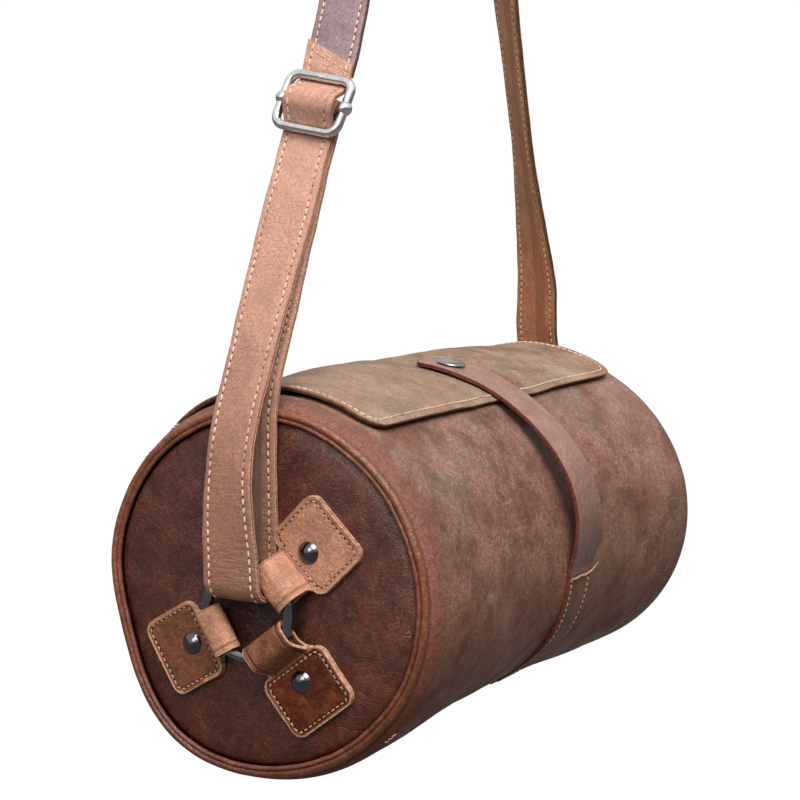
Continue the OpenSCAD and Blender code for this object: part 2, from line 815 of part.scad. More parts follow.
// The strap's far end: down past the rim, round the far ring and sewn back on itself
far_split = far_line[far_steps - 1];
far_dir = [-sin(far_lean), cos(far_lean)];
far_tail_top = [far_pass.x - strap_t * 0.52, far_sewn_z];
far_outer_line = concat(
    [far_split, far_pass],
    [for (i = [1:9]) curve(
        far_pass, far_pass - far_dir * barrel_r * 0.3,
        [turn_x + turn_r + strap_t * 0.6, mix(turn_z, far_pass.y, 0.35)], [turn_x + turn_r, turn_z], i / 9
    )]
);
far_turn_line = [for (i = [1:turn_steps - 1]) [-turn_line[turn_steps - i].x, turn_line[turn_steps - i].y]];
far_inner_line = [[turn_x - turn_r, turn_z], [-rear_rim.x, far_sewn_z]];
far_loop_line = concat(far_outer_line, far_turn_line, far_inner_line);

module far_strap_loop() {
    color("rosybrown") hung() flat_strap(far_loop_line, [for (p = far_loop_line) loop_back_at(p)], strap_t);
}

barrel_shell();
barrel_lining();
mouth_binding();
near_end_panel();
far_end_panel();
near_end_board();
far_end_board();
near_piping();
far_piping();
near_front_tab();
near_lower_tab();
near_rear_tab();
far_front_tab();
far_lower_tab();
far_rear_tab();
near_rivets();
far_rivets();
near_ring();
far_ring();
flap();
flap_backing();
flap_root_strip();
snap_stud();
closing_strap_foot();
closing_strap();
snap_cap();
snap_socket();
strap_loop();
front_run();
rear_run();
strap_bridge();
strap_end_wrap();
adjuster_frame();
adjuster_bar();
upper_run();
strap_upper();
far_strap_loop();
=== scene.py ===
import contextlib
import functools
import math

import bpy
import numpy as np
from bpy.props import FloatProperty, FloatVectorProperty, PointerProperty
from mathutils import Euler, Matrix, Vector


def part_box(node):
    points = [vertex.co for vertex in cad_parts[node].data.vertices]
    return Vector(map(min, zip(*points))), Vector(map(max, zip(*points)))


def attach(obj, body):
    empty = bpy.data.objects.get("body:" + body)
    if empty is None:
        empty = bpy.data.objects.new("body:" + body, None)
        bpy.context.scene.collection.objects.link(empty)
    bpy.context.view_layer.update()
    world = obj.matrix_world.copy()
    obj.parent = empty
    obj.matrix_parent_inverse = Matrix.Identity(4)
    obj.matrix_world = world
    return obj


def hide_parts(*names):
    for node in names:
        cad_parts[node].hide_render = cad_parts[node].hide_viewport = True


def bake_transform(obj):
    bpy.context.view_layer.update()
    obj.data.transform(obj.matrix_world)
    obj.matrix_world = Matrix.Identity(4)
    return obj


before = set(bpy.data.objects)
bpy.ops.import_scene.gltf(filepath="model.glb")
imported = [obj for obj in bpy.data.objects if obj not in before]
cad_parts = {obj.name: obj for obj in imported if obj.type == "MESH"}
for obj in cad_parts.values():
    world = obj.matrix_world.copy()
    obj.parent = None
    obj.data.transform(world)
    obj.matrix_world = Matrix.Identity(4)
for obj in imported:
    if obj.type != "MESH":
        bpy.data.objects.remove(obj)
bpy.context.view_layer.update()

bl_info = {
    "name": "Leather barrel bag",
    "version": (1, 0, 0),
    "blender": (4, 5, 0),
    "location": "View3D > Sidebar > Barrel bag",
    "description": "Dresses the packed barrel bag in leather, thread, cloth and metal",
    "category": "Object",
}

MM = 0.001
NEAR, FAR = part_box("near_piping"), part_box("far_piping")
# The middle of the barrel in the row frame; every shape below is in millimetres from it,
# with X along the barrel, the front towards -Y and angles round the barrel from the front
MIDDLE = np.array((NEAR[0] + FAR[1]) / 2)
# Radius of the barrel and of its lining, and the place of the end panels' faces along it
BARREL_R, LINING_R, PANEL_X = 85.0, 82.1, 154.0
# Each ring's radius to the middle of its wire, its distance from the panel, and its middle
RING_R, RING_OFF = 20.6, 9.0
RING_Y, RING_Z = 0.5, -5.5
TAB_ANGLES = {"front": 46.0, "lower": -51.0, "rear": 212.0}
SNAP_ANGLE = 81.0
# How far the sewn lines of a tab and of the flap stand inside their edges
TAB_INSET, FLAP_INSET = 2.3, 4.2
# The shoulder strap's middle behind the barrel's axis, and how far each of its legs leans
STRAP_BACK = 6.0
LEAN, FAR_LEAN = math.radians(22.4), math.radians(18.0)
# How far the adjuster is turned in the strap's plane, and its middle
TURNED = math.radians(9.0)
BAR = (np.array((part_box("adjuster_bar")[0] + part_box("adjuster_bar")[1]) / 2) - MIDDLE) / MM


def tone(red, green, blue):
    """A colour given as it looks on a screen, as the linear values that a shader takes."""
    return tuple(
        c / 12.92 if c <= 0.04045 else ((c + 0.055) / 1.055) ** 2.4
        for c in (red / 255, green / 255, blue / 255)
    )


def size(label, text, metres, low=0.0, high=1.0):
    """A length in the panel, in metres."""
    return FloatProperty(
        name=label, description=text, default=metres, min=low, max=high,
        precision=5, unit="LENGTH", subtype="DISTANCE",
    )


def paint(label, text, colour):
    """A colour in the panel."""
    return FloatVectorProperty(
        name=label, description=text, default=colour, size=3, min=0, max=1, subtype="COLOR",
    )


class BagSizes(bpy.types.PropertyGroup):
    """Sizes of the bag that a user may change."""

    strap_w: size("Strap width", "Width of the shoulder strap", 0.026, 0.02, 0.028)
    strap_t: size("Strap thickness", "Both layers of the shoulder strap", 0.0028, 0.002, 0.003)
    stitch_in: size("Stitch inset", "From the strap's edge to its sewn line", 0.0033, 0.002, 0.005)
    strap_pitch: size("Strap stitch", "Distance between two stitches of the strap", 0.0037, 0.003, 0.006)
    tab_pitch: size("Tab stitch", "Distance between two stitches of a tab", 0.0028, 0.002, 0.004)
    flap_pitch: size("Flap stitch", "Distance between two stitches of the flap", 0.0033, 0.002, 0.005)
    thread: size("Thread", "Thickness of the sewing thread", 0.001, 0.0005, 0.0015)
    grain: size("Grain height", "Height of the leather's grain", 0.00011, 0.0, 0.0005)
    ridge: size("Inner piping", "Radius of the thinner cord inside each rim", 0.0011, 0.0008, 0.002)


class BagColours(bpy.types.PropertyGroup):
    """Colours of the bag that a user may change."""

    barrel: paint("Barrel", "Waxed leather of the barrel", tone(152, 106, 91))
    barrel_dark: paint("Barrel, dark", "Darker clouds on the barrel", tone(94, 61, 49))
    barrel_light: paint("Barrel, rubbed", "Rubbed places on the barrel", tone(192, 152, 134))
    barrel_red: paint("Barrel, red", "Redder places on the barrel", tone(148, 93, 77))
    barrel_green: paint("Barrel, green", "Greener places on the barrel", tone(112, 95, 81))
    band: paint("Barrel's rim", "Leather that is turned in at each rim", tone(124, 78, 66))
    panel: paint("End panels", "Oiled leather of the end panels", tone(88, 42, 32))
    panel_dark: paint("End panels, dark", "Darker clouds on the end panels", tone(58, 26, 19))
    panel_light: paint("End panels, rubbed", "Rubbed places on the end panels", tone(128, 76, 60))
    piping: paint("Piping", "Leather over the cord of each rim", tone(142, 82, 54))
    tab: paint("Tabs", "Tan leather of the tabs", tone(202, 144, 114))
    strap: paint("Strap", "Tan leather of the strap below the adjuster", tone(218, 166, 142))
    upper: paint("Upper strap", "Leather of the strap above the adjuster", tone(168, 140, 144))
    far_strap: paint("Far strap", "Leather of the strap beyond its arch", tone(244, 178, 136))
    flap: paint("Flap", "Waxed suede of the flap", tone(182, 154, 134))
    flap_dark: paint("Flap, dark", "Darker clouds on the flap", tone(118, 88, 66))
    flap_red: paint("Flap, red", "Redder places on the flap", tone(160, 114, 92))
    flap_green: paint("Flap, green", "Greener places on the flap", tone(134, 116, 92))
    backing: paint("Backing", "Leather under the flap", tone(120, 80, 58))
    closing: paint("Closing strap", "Smooth leather of the closing strap", tone(168, 126, 112))
    raw: paint("Cut edge", "Cut edge of the tan leather", tone(214, 160, 132))
    closing_raw: paint("Red cut edge", "Cut edge of the closing strap", tone(118, 58, 48))
    lining: paint("Lining", "Cotton lining", tone(176, 160, 134))
    board: paint("Board", "Stiffening board", tone(150, 126, 96))
    thread: paint("Thread", "Waxed sewing thread", tone(244, 210, 182))
    tan_thread: paint("Tan thread", "Thread of the tabs and the closing strap", tone(212, 160, 124))
    steel: paint("Dark steel", "Rivets", tone(98, 98, 104))
    ring: paint("Ring steel", "Rings", tone(124, 124, 130))
    nickel: paint("Nickel", "Adjuster", tone(214, 214, 216))
    cap: paint("Cap", "Press snap", tone(150, 146, 142))
    floor: paint("Floor", "Floor of the studio", (0.2, 0.2, 0.2))


def sizes():
    return bpy.context.scene.bag_sizes


def colours():
    return bpy.context.scene.bag_colours


# Finishes


class Wire:
    """A shader socket that can be added, taken away and multiplied, each with a Math node."""

    def __init__(self, look, socket):
        self.look = look
        self.socket = socket

    def _sum(self, operation, first, second):
        return self.look.node("ShaderNodeMath", {"operation": operation}, {0: first, 1: second})

    def __add__(self, other):
        return self._sum("ADD", self, other)

    def __radd__(self, other):
        return self._sum("ADD", other, self)

    def __sub__(self, other):
        return self._sum("SUBTRACT", self, other)

    def __rsub__(self, other):
        return self._sum("SUBTRACT", other, self)

    def __mul__(self, other):
        return self._sum("MULTIPLY", self, other)

    def __rmul__(self, other):
        return self._sum("MULTIPLY", other, self)

    def __abs__(self):
        return self._sum("ABSOLUTE", self, 0.0)


class Look:
    """The nodes of a material or of the world, written as expressions on their sockets."""

    def __init__(self, owner):
        owner.use_nodes = True
        self.owner = owner
        self.tree = owner.node_tree
        self.tree.nodes.clear()

    def node(self, kind, settings=None, values=None, out=0):
        made = self.tree.nodes.new(kind)
        for key, value in (settings or {}).items():
            setattr(made, key, value)
        for key, value in (values or {}).items():
            if isinstance(value, Wire):
                self.tree.links.new(value.socket, made.inputs[key])
            else:
                made.inputs[key].default_value = value
        return Wire(self, made.outputs[out]) if made.outputs else None

    def place(self, space):
        """A place in object coordinates, or on the leather's flat pattern where space is UV."""
        return self.node("ShaderNodeTexCoord", out=space)

    def stretch(self, at, scale):
        return self.node("ShaderNodeMapping", values={"Vector": at, "Scale": scale})

    def noise(self, at, scale, detail=3.0, rough=0.55, swirl=0.0):
        values = {"Vector": at, "Scale": scale, "Detail": detail, "Roughness": rough, "Distortion": swirl}
        return self.node("ShaderNodeTexNoise", values=values)

    def cells(self, at, scale, feature="F1"):
        return self.node(
            "ShaderNodeTexVoronoi", {"feature": feature}, {"Vector": at, "Scale": scale}, "Distance"
        )

    def fade(self, value, low, high, start=0.0, end=1.0):
        """Goes smoothly from start to end while the value goes from low to high."""
        values = {0: value, 1: low, 2: high, 3: start, 4: end}
        return self.node("ShaderNodeMapRange", {"interpolation_type": "SMOOTHSTEP"}, values)

    def blend(self, first, second, share, how="MIX"):
        first, second = (c if isinstance(c, Wire) else (*c, 1.0) for c in (first, second))
        return self.node(
            "ShaderNodeMix", {"data_type": "RGBA", "blend_type": how, "clamp_factor": True},
            {0: share, 6: first, 7: second}, 2,
        )

    def mark(self, name):
        return self.node("ShaderNodeAttribute", {"attribute_name": name}, out="Fac")

    def bump(self, height, strength=1.0):
        return self.node(
            "ShaderNodeBump", values={"Strength": strength, "Distance": 1.0, "Height": height}
        )

    def surface(self, **values):
        names = {key.replace("_", " "): value for key, value in values.items()}
        shader = self.node("ShaderNodeBsdfPrincipled", values={
            key: (*value, 1.0) if key == "Base Color" and not isinstance(value, Wire) else value
            for key, value in names.items()
        })
        self.node("ShaderNodeOutputMaterial", values={"Surface": shader})
        return self.owner


def material(name):
    return Look(bpy.data.materials.new(name))


def leather(name, body, dark, light, raw=None, space="UV", cloud=24.0, gloss=0.5, spread=0.12,
            rubbed=0.5, grain=1.0, pores=1050.0, creases=0.5, fibres=0.0, sewn=0.0, scuffs=0.35,
            shine=0.26, veins=0.3, band=None, wrinkles=0.0, low=None, stain=None, tints=()):
    """Leather: wax, rubbed places, creases, scuffs and grain; raw is the colour of its cut edge."""
    look = material(name)
    at = look.place(space)
    high = sizes().grain
    # Clouds of wax, rubbed places and patches of other tints
    big = look.noise(at, cloud, 4.0, 0.6, 0.7)
    middle = look.noise(at, cloud * 4.1, 5.0, 0.62, 0.4)
    fine = look.noise(at, 640.0, 4.0, 0.65)
    wide = look.noise(at, cloud * 0.37, 2.0, 0.5)
    crackle = look.noise(at, 165.0, 6.0, 0.78, 0.5)
    hair = look.fade(abs(look.noise(at, 430.0, 3.0, 0.6, 1.8) - 0.5), 0.0, 0.045, 1.0, 0.0)
    colour = look.blend(dark, body, look.fade(big * 0.5 + middle * 0.16 + crackle * 0.34, 0.35, 0.61))
    colour = look.blend(colour, light, look.fade(wide * 0.45 + middle * 0.55, 0.5, 0.7) * rubbed)
    for n, tint in enumerate(tints):
        patch = look.fade(look.noise(at, 14.0 + 9.0 * n, 4.0, 0.6, 0.4), 0.5, 0.66)
        colour = look.blend(colour, tint, patch * 0.6)
    # Creases, scratches and fine veins
    line = abs(look.noise(at, cloud * 1.7, 3.0, 0.55, 1.1) - 0.5)
    crease = look.fade(line, 0.0, 0.016, 1.0, 0.0) * look.fade(big, 0.4, 0.6)
    scratch_at = look.stretch(at, (30.0, 420.0, 60.0))
    scratch = look.fade(look.noise(scratch_at, 1.0, 2.0, 0.5, 0.25), 0.66, 0.74)
    scratch = scratch * look.fade(look.noise(at, cloud * 2.3, 2.0), 0.5, 0.62) * scuffs
    colour = look.blend(colour, light, scratch + crease * creases * 0.3)
    vein = look.fade(abs(look.noise(at, 210.0, 4.0, 0.66, 1.2) - 0.5), 0.0, 0.03, 1.0, 0.0)
    colour = look.blend(colour, light, (vein + hair * 0.7) * look.fade(middle, 0.38, 0.58) * veins)
    # The panel darkened round each ring's middle, and the leather that is turned in at a rim
    if stain is not None:
        far = look.node(
            "ShaderNodeVectorMath", {"operation": "DISTANCE"},
            {0: look.place("Object"), 1: tuple(float(c) for c in row(stain))}, "Value",
        )
        # Darker within about 12 to 34 mm of the ring's middle
        oiled = look.fade(far + (middle - 0.5) * 0.012, 0.012, 0.034, 0.75, 0.0)
        colour = look.blend(colour, tuple(c * 0.45 for c in dark), oiled)
    if band is not None:
        close = look.fade(look.mark("rim") + (middle - 0.5) * 10, 4.0, 15.0, 0.85, 0.0)
        colour = look.blend(colour, look.blend(band, lighter(band, 1.35), middle), close)
    # Dirt in the grain, and painted shade: the colour darkened towards the underside
    dim = look.blend(colour, tuple(c * 0.45 for c in dark), look.fade(fine, 0.3, 0.62, 0.42, 0.0))
    colour = look.blend(dim, light, look.fade(fine, 0.45, 0.7, 0.0, 0.1))
    # Painted shade: low gives two heights and a factor; below them the colour is multiplied by it, fading out
    # between them
    if low is not None:
        start, end, shade = low
        start, end = (float(row((0, 0, z))[2]) for z in (start, end))
        height = look.node("ShaderNodeSeparateXYZ", values={0: look.place("Object")}, out=2)
        colour = look.blend(colour, shade, look.fade(height, start, end, 1.0, 0.0), "MULTIPLY")
    # Grain, loose fibres and wrinkles, with painted shade in the wrinkles' hollows
    pebble = look.cells(at, pores, "DISTANCE_TO_EDGE")
    ground = look.fade(pebble, 0.0, 0.22) * (high * grain)
    ground = ground + look.noise(at, pores * 2.2, 3.0, 0.7) * (high * 0.7 * grain)
    ground = ground + middle * 0.0009 + big * 0.0014 - crease * (creases * 0.00035)
    ground = ground - scratch * 0.00008
    if fibres:
        fluff = look.noise(look.stretch(at, (1.0, 1.6, 1.3)), 2100.0, 4.0, 0.75)
        ground = ground + fluff * (0.00016 * fibres)
        colour = look.blend(colour, light, look.fade(fluff, 0.5, 0.72) * 0.35 * fibres)
    if wrinkles:
        fold = look.noise(look.stretch(at, (760.0, 110.0, 1.0)), 1.0, 3.0, 0.6, 0.6)
        where = look.fade(look.noise(at, 14.0, 2.0), 0.4, 0.62) * wrinkles
        ground = ground + (look.fade(fold, 0.3, 0.62) * where) * 0.0003
        # Painted shade: the colour is darkened in the wrinkles' hollows, where the bump is lowest
        colour = look.blend(colour, dark, look.fade(fold, 0.28, 0.46, 0.28, 0.0) * where)
    roughness = look.fade(big * 0.5 + middle * 0.5, 0.35, 0.65, gloss + spread, gloss - spread)
    roughness = roughness + (fine - 0.5) * 0.14
    # The ragged cut edge, and the dip that a sewn line pulls, with painted shade in that dip
    if raw is not None:
        rim = look.mark("rim")
        ragged = rim + (look.noise(at, 900.0, 3.0, 0.7) - 0.5) * 0.9
        cut = look.fade(ragged, 0.1, 0.75, 1.0, 0.0)
        shade = look.blend(raw, tuple(c * 0.55 for c in raw), look.fade(fine, 0.34, 0.66))
        colour = look.blend(colour, shade, cut)
        colour = look.blend(colour, tuple(c * 0.16 for c in dark), look.fade(rim, -0.95, -0.45, 0.9, 0.0))
        ground = ground + cut * fine * 0.0005
        roughness = look.fade(cut, 0.0, 1.0, 0.0, 0.9 - gloss) + roughness
        if sewn:
            dip_and_shade = look.fade(abs(rim - sewn), 0.15, 1.0, 1.0, 0.0)
            ground = ground - dip_and_shade * 0.00045
            # Painted shade: the colour is darkened along the sewn line's dip
            colour = look.blend(colour, tuple(c * 0.5 for c in dark), dip_and_shade * 0.4)
    return look.surface(
        Base_Color=colour, Roughness=roughness, Normal=look.bump(ground), Specular_IOR_Level=shine,
    )


def metal(name, colour, gloss, spots=0.3):
    """Plated metal with fine polishing lines, a few stains and rubbed, slightly uneven gloss."""
    look = material(name)
    at = look.place("Object")
    stain = look.noise(at, 160.0, 5.0, 0.65, 0.5)
    lines = look.noise(look.stretch(at, (900.0, 900.0, 5200.0)), 1.0, 2.0, 0.6)
    dirty = look.fade(stain, 0.5, 0.72) * spots
    shade = look.blend(colour, tuple(c * 0.35 for c in colour), dirty)
    roughness = look.fade(stain, 0.45, 0.75, gloss, gloss + 0.16) + look.fade(lines, 0.5, 0.8, 0.0, 0.06)
    return look.surface(
        Base_Color=shade, Metallic=1.0, Roughness=roughness,
        Normal=look.bump(stain * 0.00005 + lines * 0.000012),
    )


def twisted_thread(name, colour):
    """Waxed thread: two plies, with darker dirt between them."""
    look = material(name)
    at = look.place("Object")
    speck = look.noise(at, 2600.0, 3.0, 0.6)
    dirt = look.noise(at, 60.0, 3.0, 0.6)
    shade = look.blend(colour, tuple(c * 0.55 for c in colour), look.fade(speck, 0.42, 0.7) * 0.6)
    shade = look.blend(shade, tone(150, 112, 78), look.fade(dirt, 0.45, 0.68) * 0.7)
    return look.surface(
        Base_Color=shade, Roughness=look.fade(dirt, 0.3, 0.7, 0.55, 0.8),
        Normal=look.bump(speck * 0.0002),
    )


def hole_shade(name, colour):
    """Painted shade in the holes that a needle leaves, as a dark colour."""
    look = material(name)
    speck = look.noise(look.place("Object"), 900.0, 2.0)
    shade = look.blend(colour, tuple(c * 2.2 for c in colour), look.fade(speck, 0.4, 0.7))
    return look.surface(Base_Color=shade, Roughness=0.85, Specular_IOR_Level=0.1)


def cloth(name, colour):
    """Cotton twill: two thread directions with slubs and creases."""
    look = material(name)
    at = look.place("UV")
    warp = abs(look.node("ShaderNodeTexWave", {"wave_type": "BANDS", "bands_direction": "DIAGONAL"},
                         {"Vector": at, "Scale": 420.0, "Distortion": 0.8, "Detail": 1.0}, "Fac"))
    slub = look.noise(look.stretch(at, (60.0, 900.0, 1.0)), 1.0, 3.0)
    fold = look.noise(at, 22.0, 3.0, 0.5, 0.6)
    shade = look.blend(tuple(c * 0.6 for c in colour), colour, warp * 0.7 + slub * 0.3)
    shade = look.blend(shade, tuple(c * 0.72 for c in colour), look.fade(fold, 0.5, 0.7) * 0.5)
    return look.surface(
        Base_Color=shade, Roughness=look.fade(slub, 0.3, 0.7, 0.8, 0.95),
        Normal=look.bump(warp * 0.00015 + slub * 0.0001 + fold * 0.002), Sheen_Weight=0.2,
    )


def pressed_board(name, colour):
    """Grey-brown board pressed from fibres."""
    look = material(name)
    at = look.place("Object")
    fibre = look.noise(look.stretch(at, (1.0, 300.0, 90.0)), 4.0, 5.0, 0.7)
    speck = look.cells(at, 700.0)
    shade = look.blend(tuple(c * 0.6 for c in colour), colour, look.fade(fibre, 0.3, 0.65))
    shade = look.blend(shade, tone(92, 72, 54), look.fade(speck, 0.1, 0.3, 0.6, 0.0))
    return look.surface(
        Base_Color=shade, Roughness=look.fade(fibre, 0.3, 0.7, 0.75, 0.95),
        Normal=look.bump(fibre * 0.0003),
    )


@functools.cache
def finish(name):
    """The finish of that name, made when it is first asked for."""
    return MAKERS[name]()


def darker(colour, share=0.62):
    return tuple(c * share for c in colour)


def lighter(colour, share=1.5):
    return tuple(min(1.0, c * share) for c in colour)


MAKERS = {
    # low paints shade on the barrel: darker and warmer towards its underside
    "barrel_leather": lambda: leather(
        "barrel_leather", colours().barrel, colours().barrel_dark, colours().barrel_light,
        space="Object", cloud=12.0, gloss=0.48, rubbed=0.5, creases=0.5, scuffs=0.5, pores=900.0,
        veins=0.7, band=colours().band, shine=0.2, low=(-88.0, 46.0, (0.66, 0.4, 0.23)),
        tints=(colours().barrel_red, colours().barrel_green),
    ),
    # low paints shade on the end panels, darker towards their bottom; stain darkens them round each ring's
    # middle
    "panel_leather": lambda: leather(
        "panel_leather", colours().panel, colours().panel_dark, colours().panel_light,
        space="Object", cloud=19.0, gloss=0.28, spread=0.06, rubbed=0.3, creases=0.5, grain=0.7,
        scuffs=0.6, shine=0.4, veins=0.5, stain=(-153.0, RING_Y, RING_Z),
        low=(-78.0, 30.0, (0.92, 0.76, 0.6)),
    ),
    # low paints shade on the piping, darker towards its bottom
    "piping_leather": lambda: leather(
        "piping_leather", colours().piping, darker(colours().piping, 0.5), lighter(colours().piping, 1.4),
        space="Object", cloud=40.0, gloss=0.26, rubbed=0.5, creases=0.3, grain=0.4, shine=0.5,
        low=(-84.0, 30.0, (0.5, 0.38, 0.28)),
    ),
    "inner_piping_leather": lambda: leather(
        "inner_piping_leather", colours().panel_light, colours().panel, lighter(colours().panel_light, 1.4),
        space="Object", cloud=40.0, gloss=0.34, rubbed=0.4, creases=0.3, grain=0.5, shine=0.4,
    ),
    "tab_leather": lambda: leather(
        "tab_leather", colours().tab, darker(colours().tab, 0.6), lighter(colours().tab, 1.35),
        colours().raw, cloud=46.0, gloss=0.5, rubbed=0.5, creases=0.25, grain=0.7,
        sewn=TAB_INSET,
    ),
    "dark_tab_leather": lambda: leather(
        "dark_tab_leather", tone(132, 80, 54), tone(96, 54, 34), tone(164, 112, 82),
        colours().raw, cloud=46.0, gloss=0.46, rubbed=0.5, creases=0.25, grain=0.7,
        sewn=TAB_INSET,
    ),
    "oiled_tab_leather": lambda: leather(
        "oiled_tab_leather", tone(104, 42, 16), tone(62, 22, 8), tone(134, 78, 46),
        colours().raw, cloud=34.0, gloss=0.16, spread=0.05, rubbed=0.6, creases=0.2, grain=0.3,
        sewn=TAB_INSET, shine=0.3,
    ),
    # low paints shade on the strap, darker towards its lower end at the ring
    "strap_leather": lambda: leather(
        "strap_leather", colours().strap, darker(colours().strap, 0.76), lighter(colours().strap, 1.2),
        colours().raw, cloud=30.0, gloss=0.5, rubbed=0.4, creases=0.3, grain=0.8, scuffs=0.3,
        veins=0.15, wrinkles=0.8, shine=0.2, low=(0.0, 160.0, (0.56, 0.48, 0.44)),
    ),
    "upper_strap_leather": lambda: leather(
        "upper_strap_leather", colours().upper, darker(colours().upper, 0.7),
        lighter(colours().upper, 1.3), tone(132, 88, 66), cloud=26.0, gloss=0.46, rubbed=0.5,
        creases=0.5, grain=0.8,
    ),
    # low paints shade on the far strap, darker towards its lower part
    "far_strap_leather": lambda: leather(
        "far_strap_leather", colours().far_strap, darker(colours().far_strap, 0.7),
        lighter(colours().far_strap, 1.2), tone(132, 88, 66), cloud=26.0, gloss=0.5, rubbed=0.5,
        creases=0.5, grain=0.8, shine=0.12, low=(110.0, 240.0, (0.8, 0.7, 0.64)),
    ),
    "flap_leather": lambda: leather(
        "flap_leather", colours().flap, colours().flap_dark, lighter(colours().flap, 1.3),
        tone(142, 108, 80), cloud=19.0, gloss=0.66, spread=0.1, rubbed=0.5, creases=0.7, grain=0.6,
        fibres=0.4, sewn=FLAP_INSET, scuffs=0.6, shine=0.16, veins=0.2,
        tints=(colours().flap_red, colours().flap_green),
    ),
    "backing_leather": lambda: leather(
        "backing_leather", colours().backing, darker(colours().backing), lighter(colours().backing),
        tone(110, 72, 50), cloud=34.0, gloss=0.75, rubbed=0.4, creases=0.2, grain=0.6, fibres=1.0,
        shine=0.15,
    ),
    # low paints shade on the closing strap, darker towards its lower part
    "closing_leather": lambda: leather(
        "closing_leather", colours().closing, darker(colours().closing, 0.66),
        lighter(colours().closing, 1.35), colours().closing_raw, cloud=30.0, gloss=0.4, rubbed=0.5,
        creases=0.5, grain=0.6, scuffs=0.5, shine=0.3, low=(-10.0, 64.0, (0.6, 0.6, 0.6)),
    ),
    "closing_foot_leather": lambda: leather(
        "closing_foot_leather", tone(118, 82, 66), tone(84, 58, 46), tone(150, 112, 94),
        colours().closing_raw, cloud=24.0, gloss=0.48, rubbed=0.5, creases=0.5, grain=0.8,
        scuffs=0.5, shine=0.25,
    ),
    "lining_cloth": lambda: cloth("lining_cloth", colours().lining),
    "board": lambda: pressed_board("board", colours().board),
    "dark_steel": lambda: metal("dark_steel", colours().steel, 0.08, 0.25),
    "ring_steel": lambda: metal("ring_steel", colours().ring, 0.07, 0.45),
    "nickel": lambda: metal("nickel", colours().nickel, 0.05, 0.5),
    "cap_metal": lambda: metal("cap_metal", colours().cap, 0.24, 0.5),
    "thread": lambda: twisted_thread("thread", colours().thread),
    "tan_thread": lambda: twisted_thread("tan_thread", colours().tan_thread),
    "needle_hole_shade": lambda: hole_shade("needle_hole_shade", tone(34, 18, 12)),
}


# Making meshes


def smooth(share):
    """Eases a share between 0 and 1, and holds it there beyond them."""
    share = np.clip(share, 0.0, 1.0)
    return share * share * (3 - 2 * share)


def mix(a, b, share):
    return a + (b - a) * share


def steps(low, high, count):
    """Both ends and the count of equal steps between them."""
    return np.linspace(low, high, count + 1)


def pick(piece):
    """Selects that piece alone."""
    bpy.ops.object.select_all(action="DESELECT")
    piece.select_set(True)
    bpy.context.view_layer.objects.active = piece


@contextlib.contextmanager
def editing(piece):
    """Edit mode with all of the piece selected."""
    pick(piece)
    bpy.ops.object.mode_set(mode="EDIT")
    bpy.ops.mesh.select_all(action="SELECT")
    yield
    bpy.ops.object.mode_set(mode="OBJECT")


def apply_modifier(piece, kind, **settings):
    pick(piece)
    made = piece.modifiers.new(kind.lower(), kind)
    for key, value in settings.items():
        setattr(made, key, value)
    bpy.ops.object.modifier_apply(modifier=made.name)


def lay(name, us, vs, shape, drop=None, join=0.0, close=False):
    """A grid laid on shape(u, v), which gives places, flat pattern and distance from the cut edge.

    Faces that touch a point where drop(u, v) is true are left out, points closer than join are
    merged, and close fills the ends of a tube.
    """
    us, vs = np.asarray(us, float), np.asarray(vs, float)
    bpy.ops.object.select_all(action="DESELECT")
    bpy.ops.mesh.primitive_grid_add(x_subdivisions=len(us) - 1, y_subdivisions=len(vs) - 1, size=2)
    piece = bpy.context.object
    mesh = piece.data
    piece.name = mesh.name = name
    grid = np.empty(3 * len(mesh.vertices))
    mesh.vertices.foreach_get("co", grid)
    grid = grid.reshape(-1, 3)
    u = us[np.rint((grid[:, 0] + 1) / 2 * (len(us) - 1)).astype(int)]
    v = vs[np.rint((grid[:, 1] + 1) / 2 * (len(vs) - 1)).astype(int)]
    places, pattern, rim = shape(u, v)
    mesh.vertices.foreach_set("co", (MIDDLE + places * MM).ravel())
    corners = np.empty(len(mesh.loops), int)
    mesh.loops.foreach_get("vertex_index", corners)
    mesh.uv_layers[0].data.foreach_set("uv", (pattern * MM)[corners].ravel())
    marks = mesh.attributes.new("rim", "FLOAT", "POINT")
    marks.data.foreach_set("value", np.broadcast_to(rim, len(u)).copy())
    if drop is not None:
        gone = drop(u, v)
        mesh.update()
        for face in mesh.polygons:
            face.select = any(gone[i] for i in face.vertices)
        with picked_faces(piece):
            bpy.ops.mesh.delete(type="FACE")
    with editing(piece):
        if join:
            bpy.ops.mesh.remove_doubles(threshold=join * MM)
        if close:
            bpy.ops.mesh.fill_holes(sides=0)
        bpy.ops.mesh.select_all(action="SELECT")
        bpy.ops.mesh.normals_make_consistent(inside=False)
    return piece


@contextlib.contextmanager
def picked_faces(piece):
    """Edit mode with the faces that are already marked."""
    marks = [f.select for f in piece.data.polygons]
    pick(piece)
    bpy.ops.object.mode_set(mode="EDIT")
    bpy.ops.mesh.select_mode(type="FACE")
    bpy.ops.mesh.select_all(action="DESELECT")
    bpy.ops.object.mode_set(mode="OBJECT")
    for face, mark in zip(piece.data.polygons, marks):
        face.select = mark
    bpy.ops.object.mode_set(mode="EDIT")
    yield
    bpy.ops.mesh.select_mode(type="VERT")
    bpy.ops.object.mode_set(mode="OBJECT")


def sheet(piece, thickness, offset=0.0, bevel=0.3):
    """Gives a surface the thickness of its leather, with softened cut edges."""
    apply_modifier(piece, "SOLIDIFY", thickness=thickness * MM, offset=offset, use_rim=True)
    if bevel:
        apply_modifier(
            piece, "BEVEL", width=bevel * MM, segments=2, limit_method="ANGLE",
            angle_limit=math.radians(50),
        )


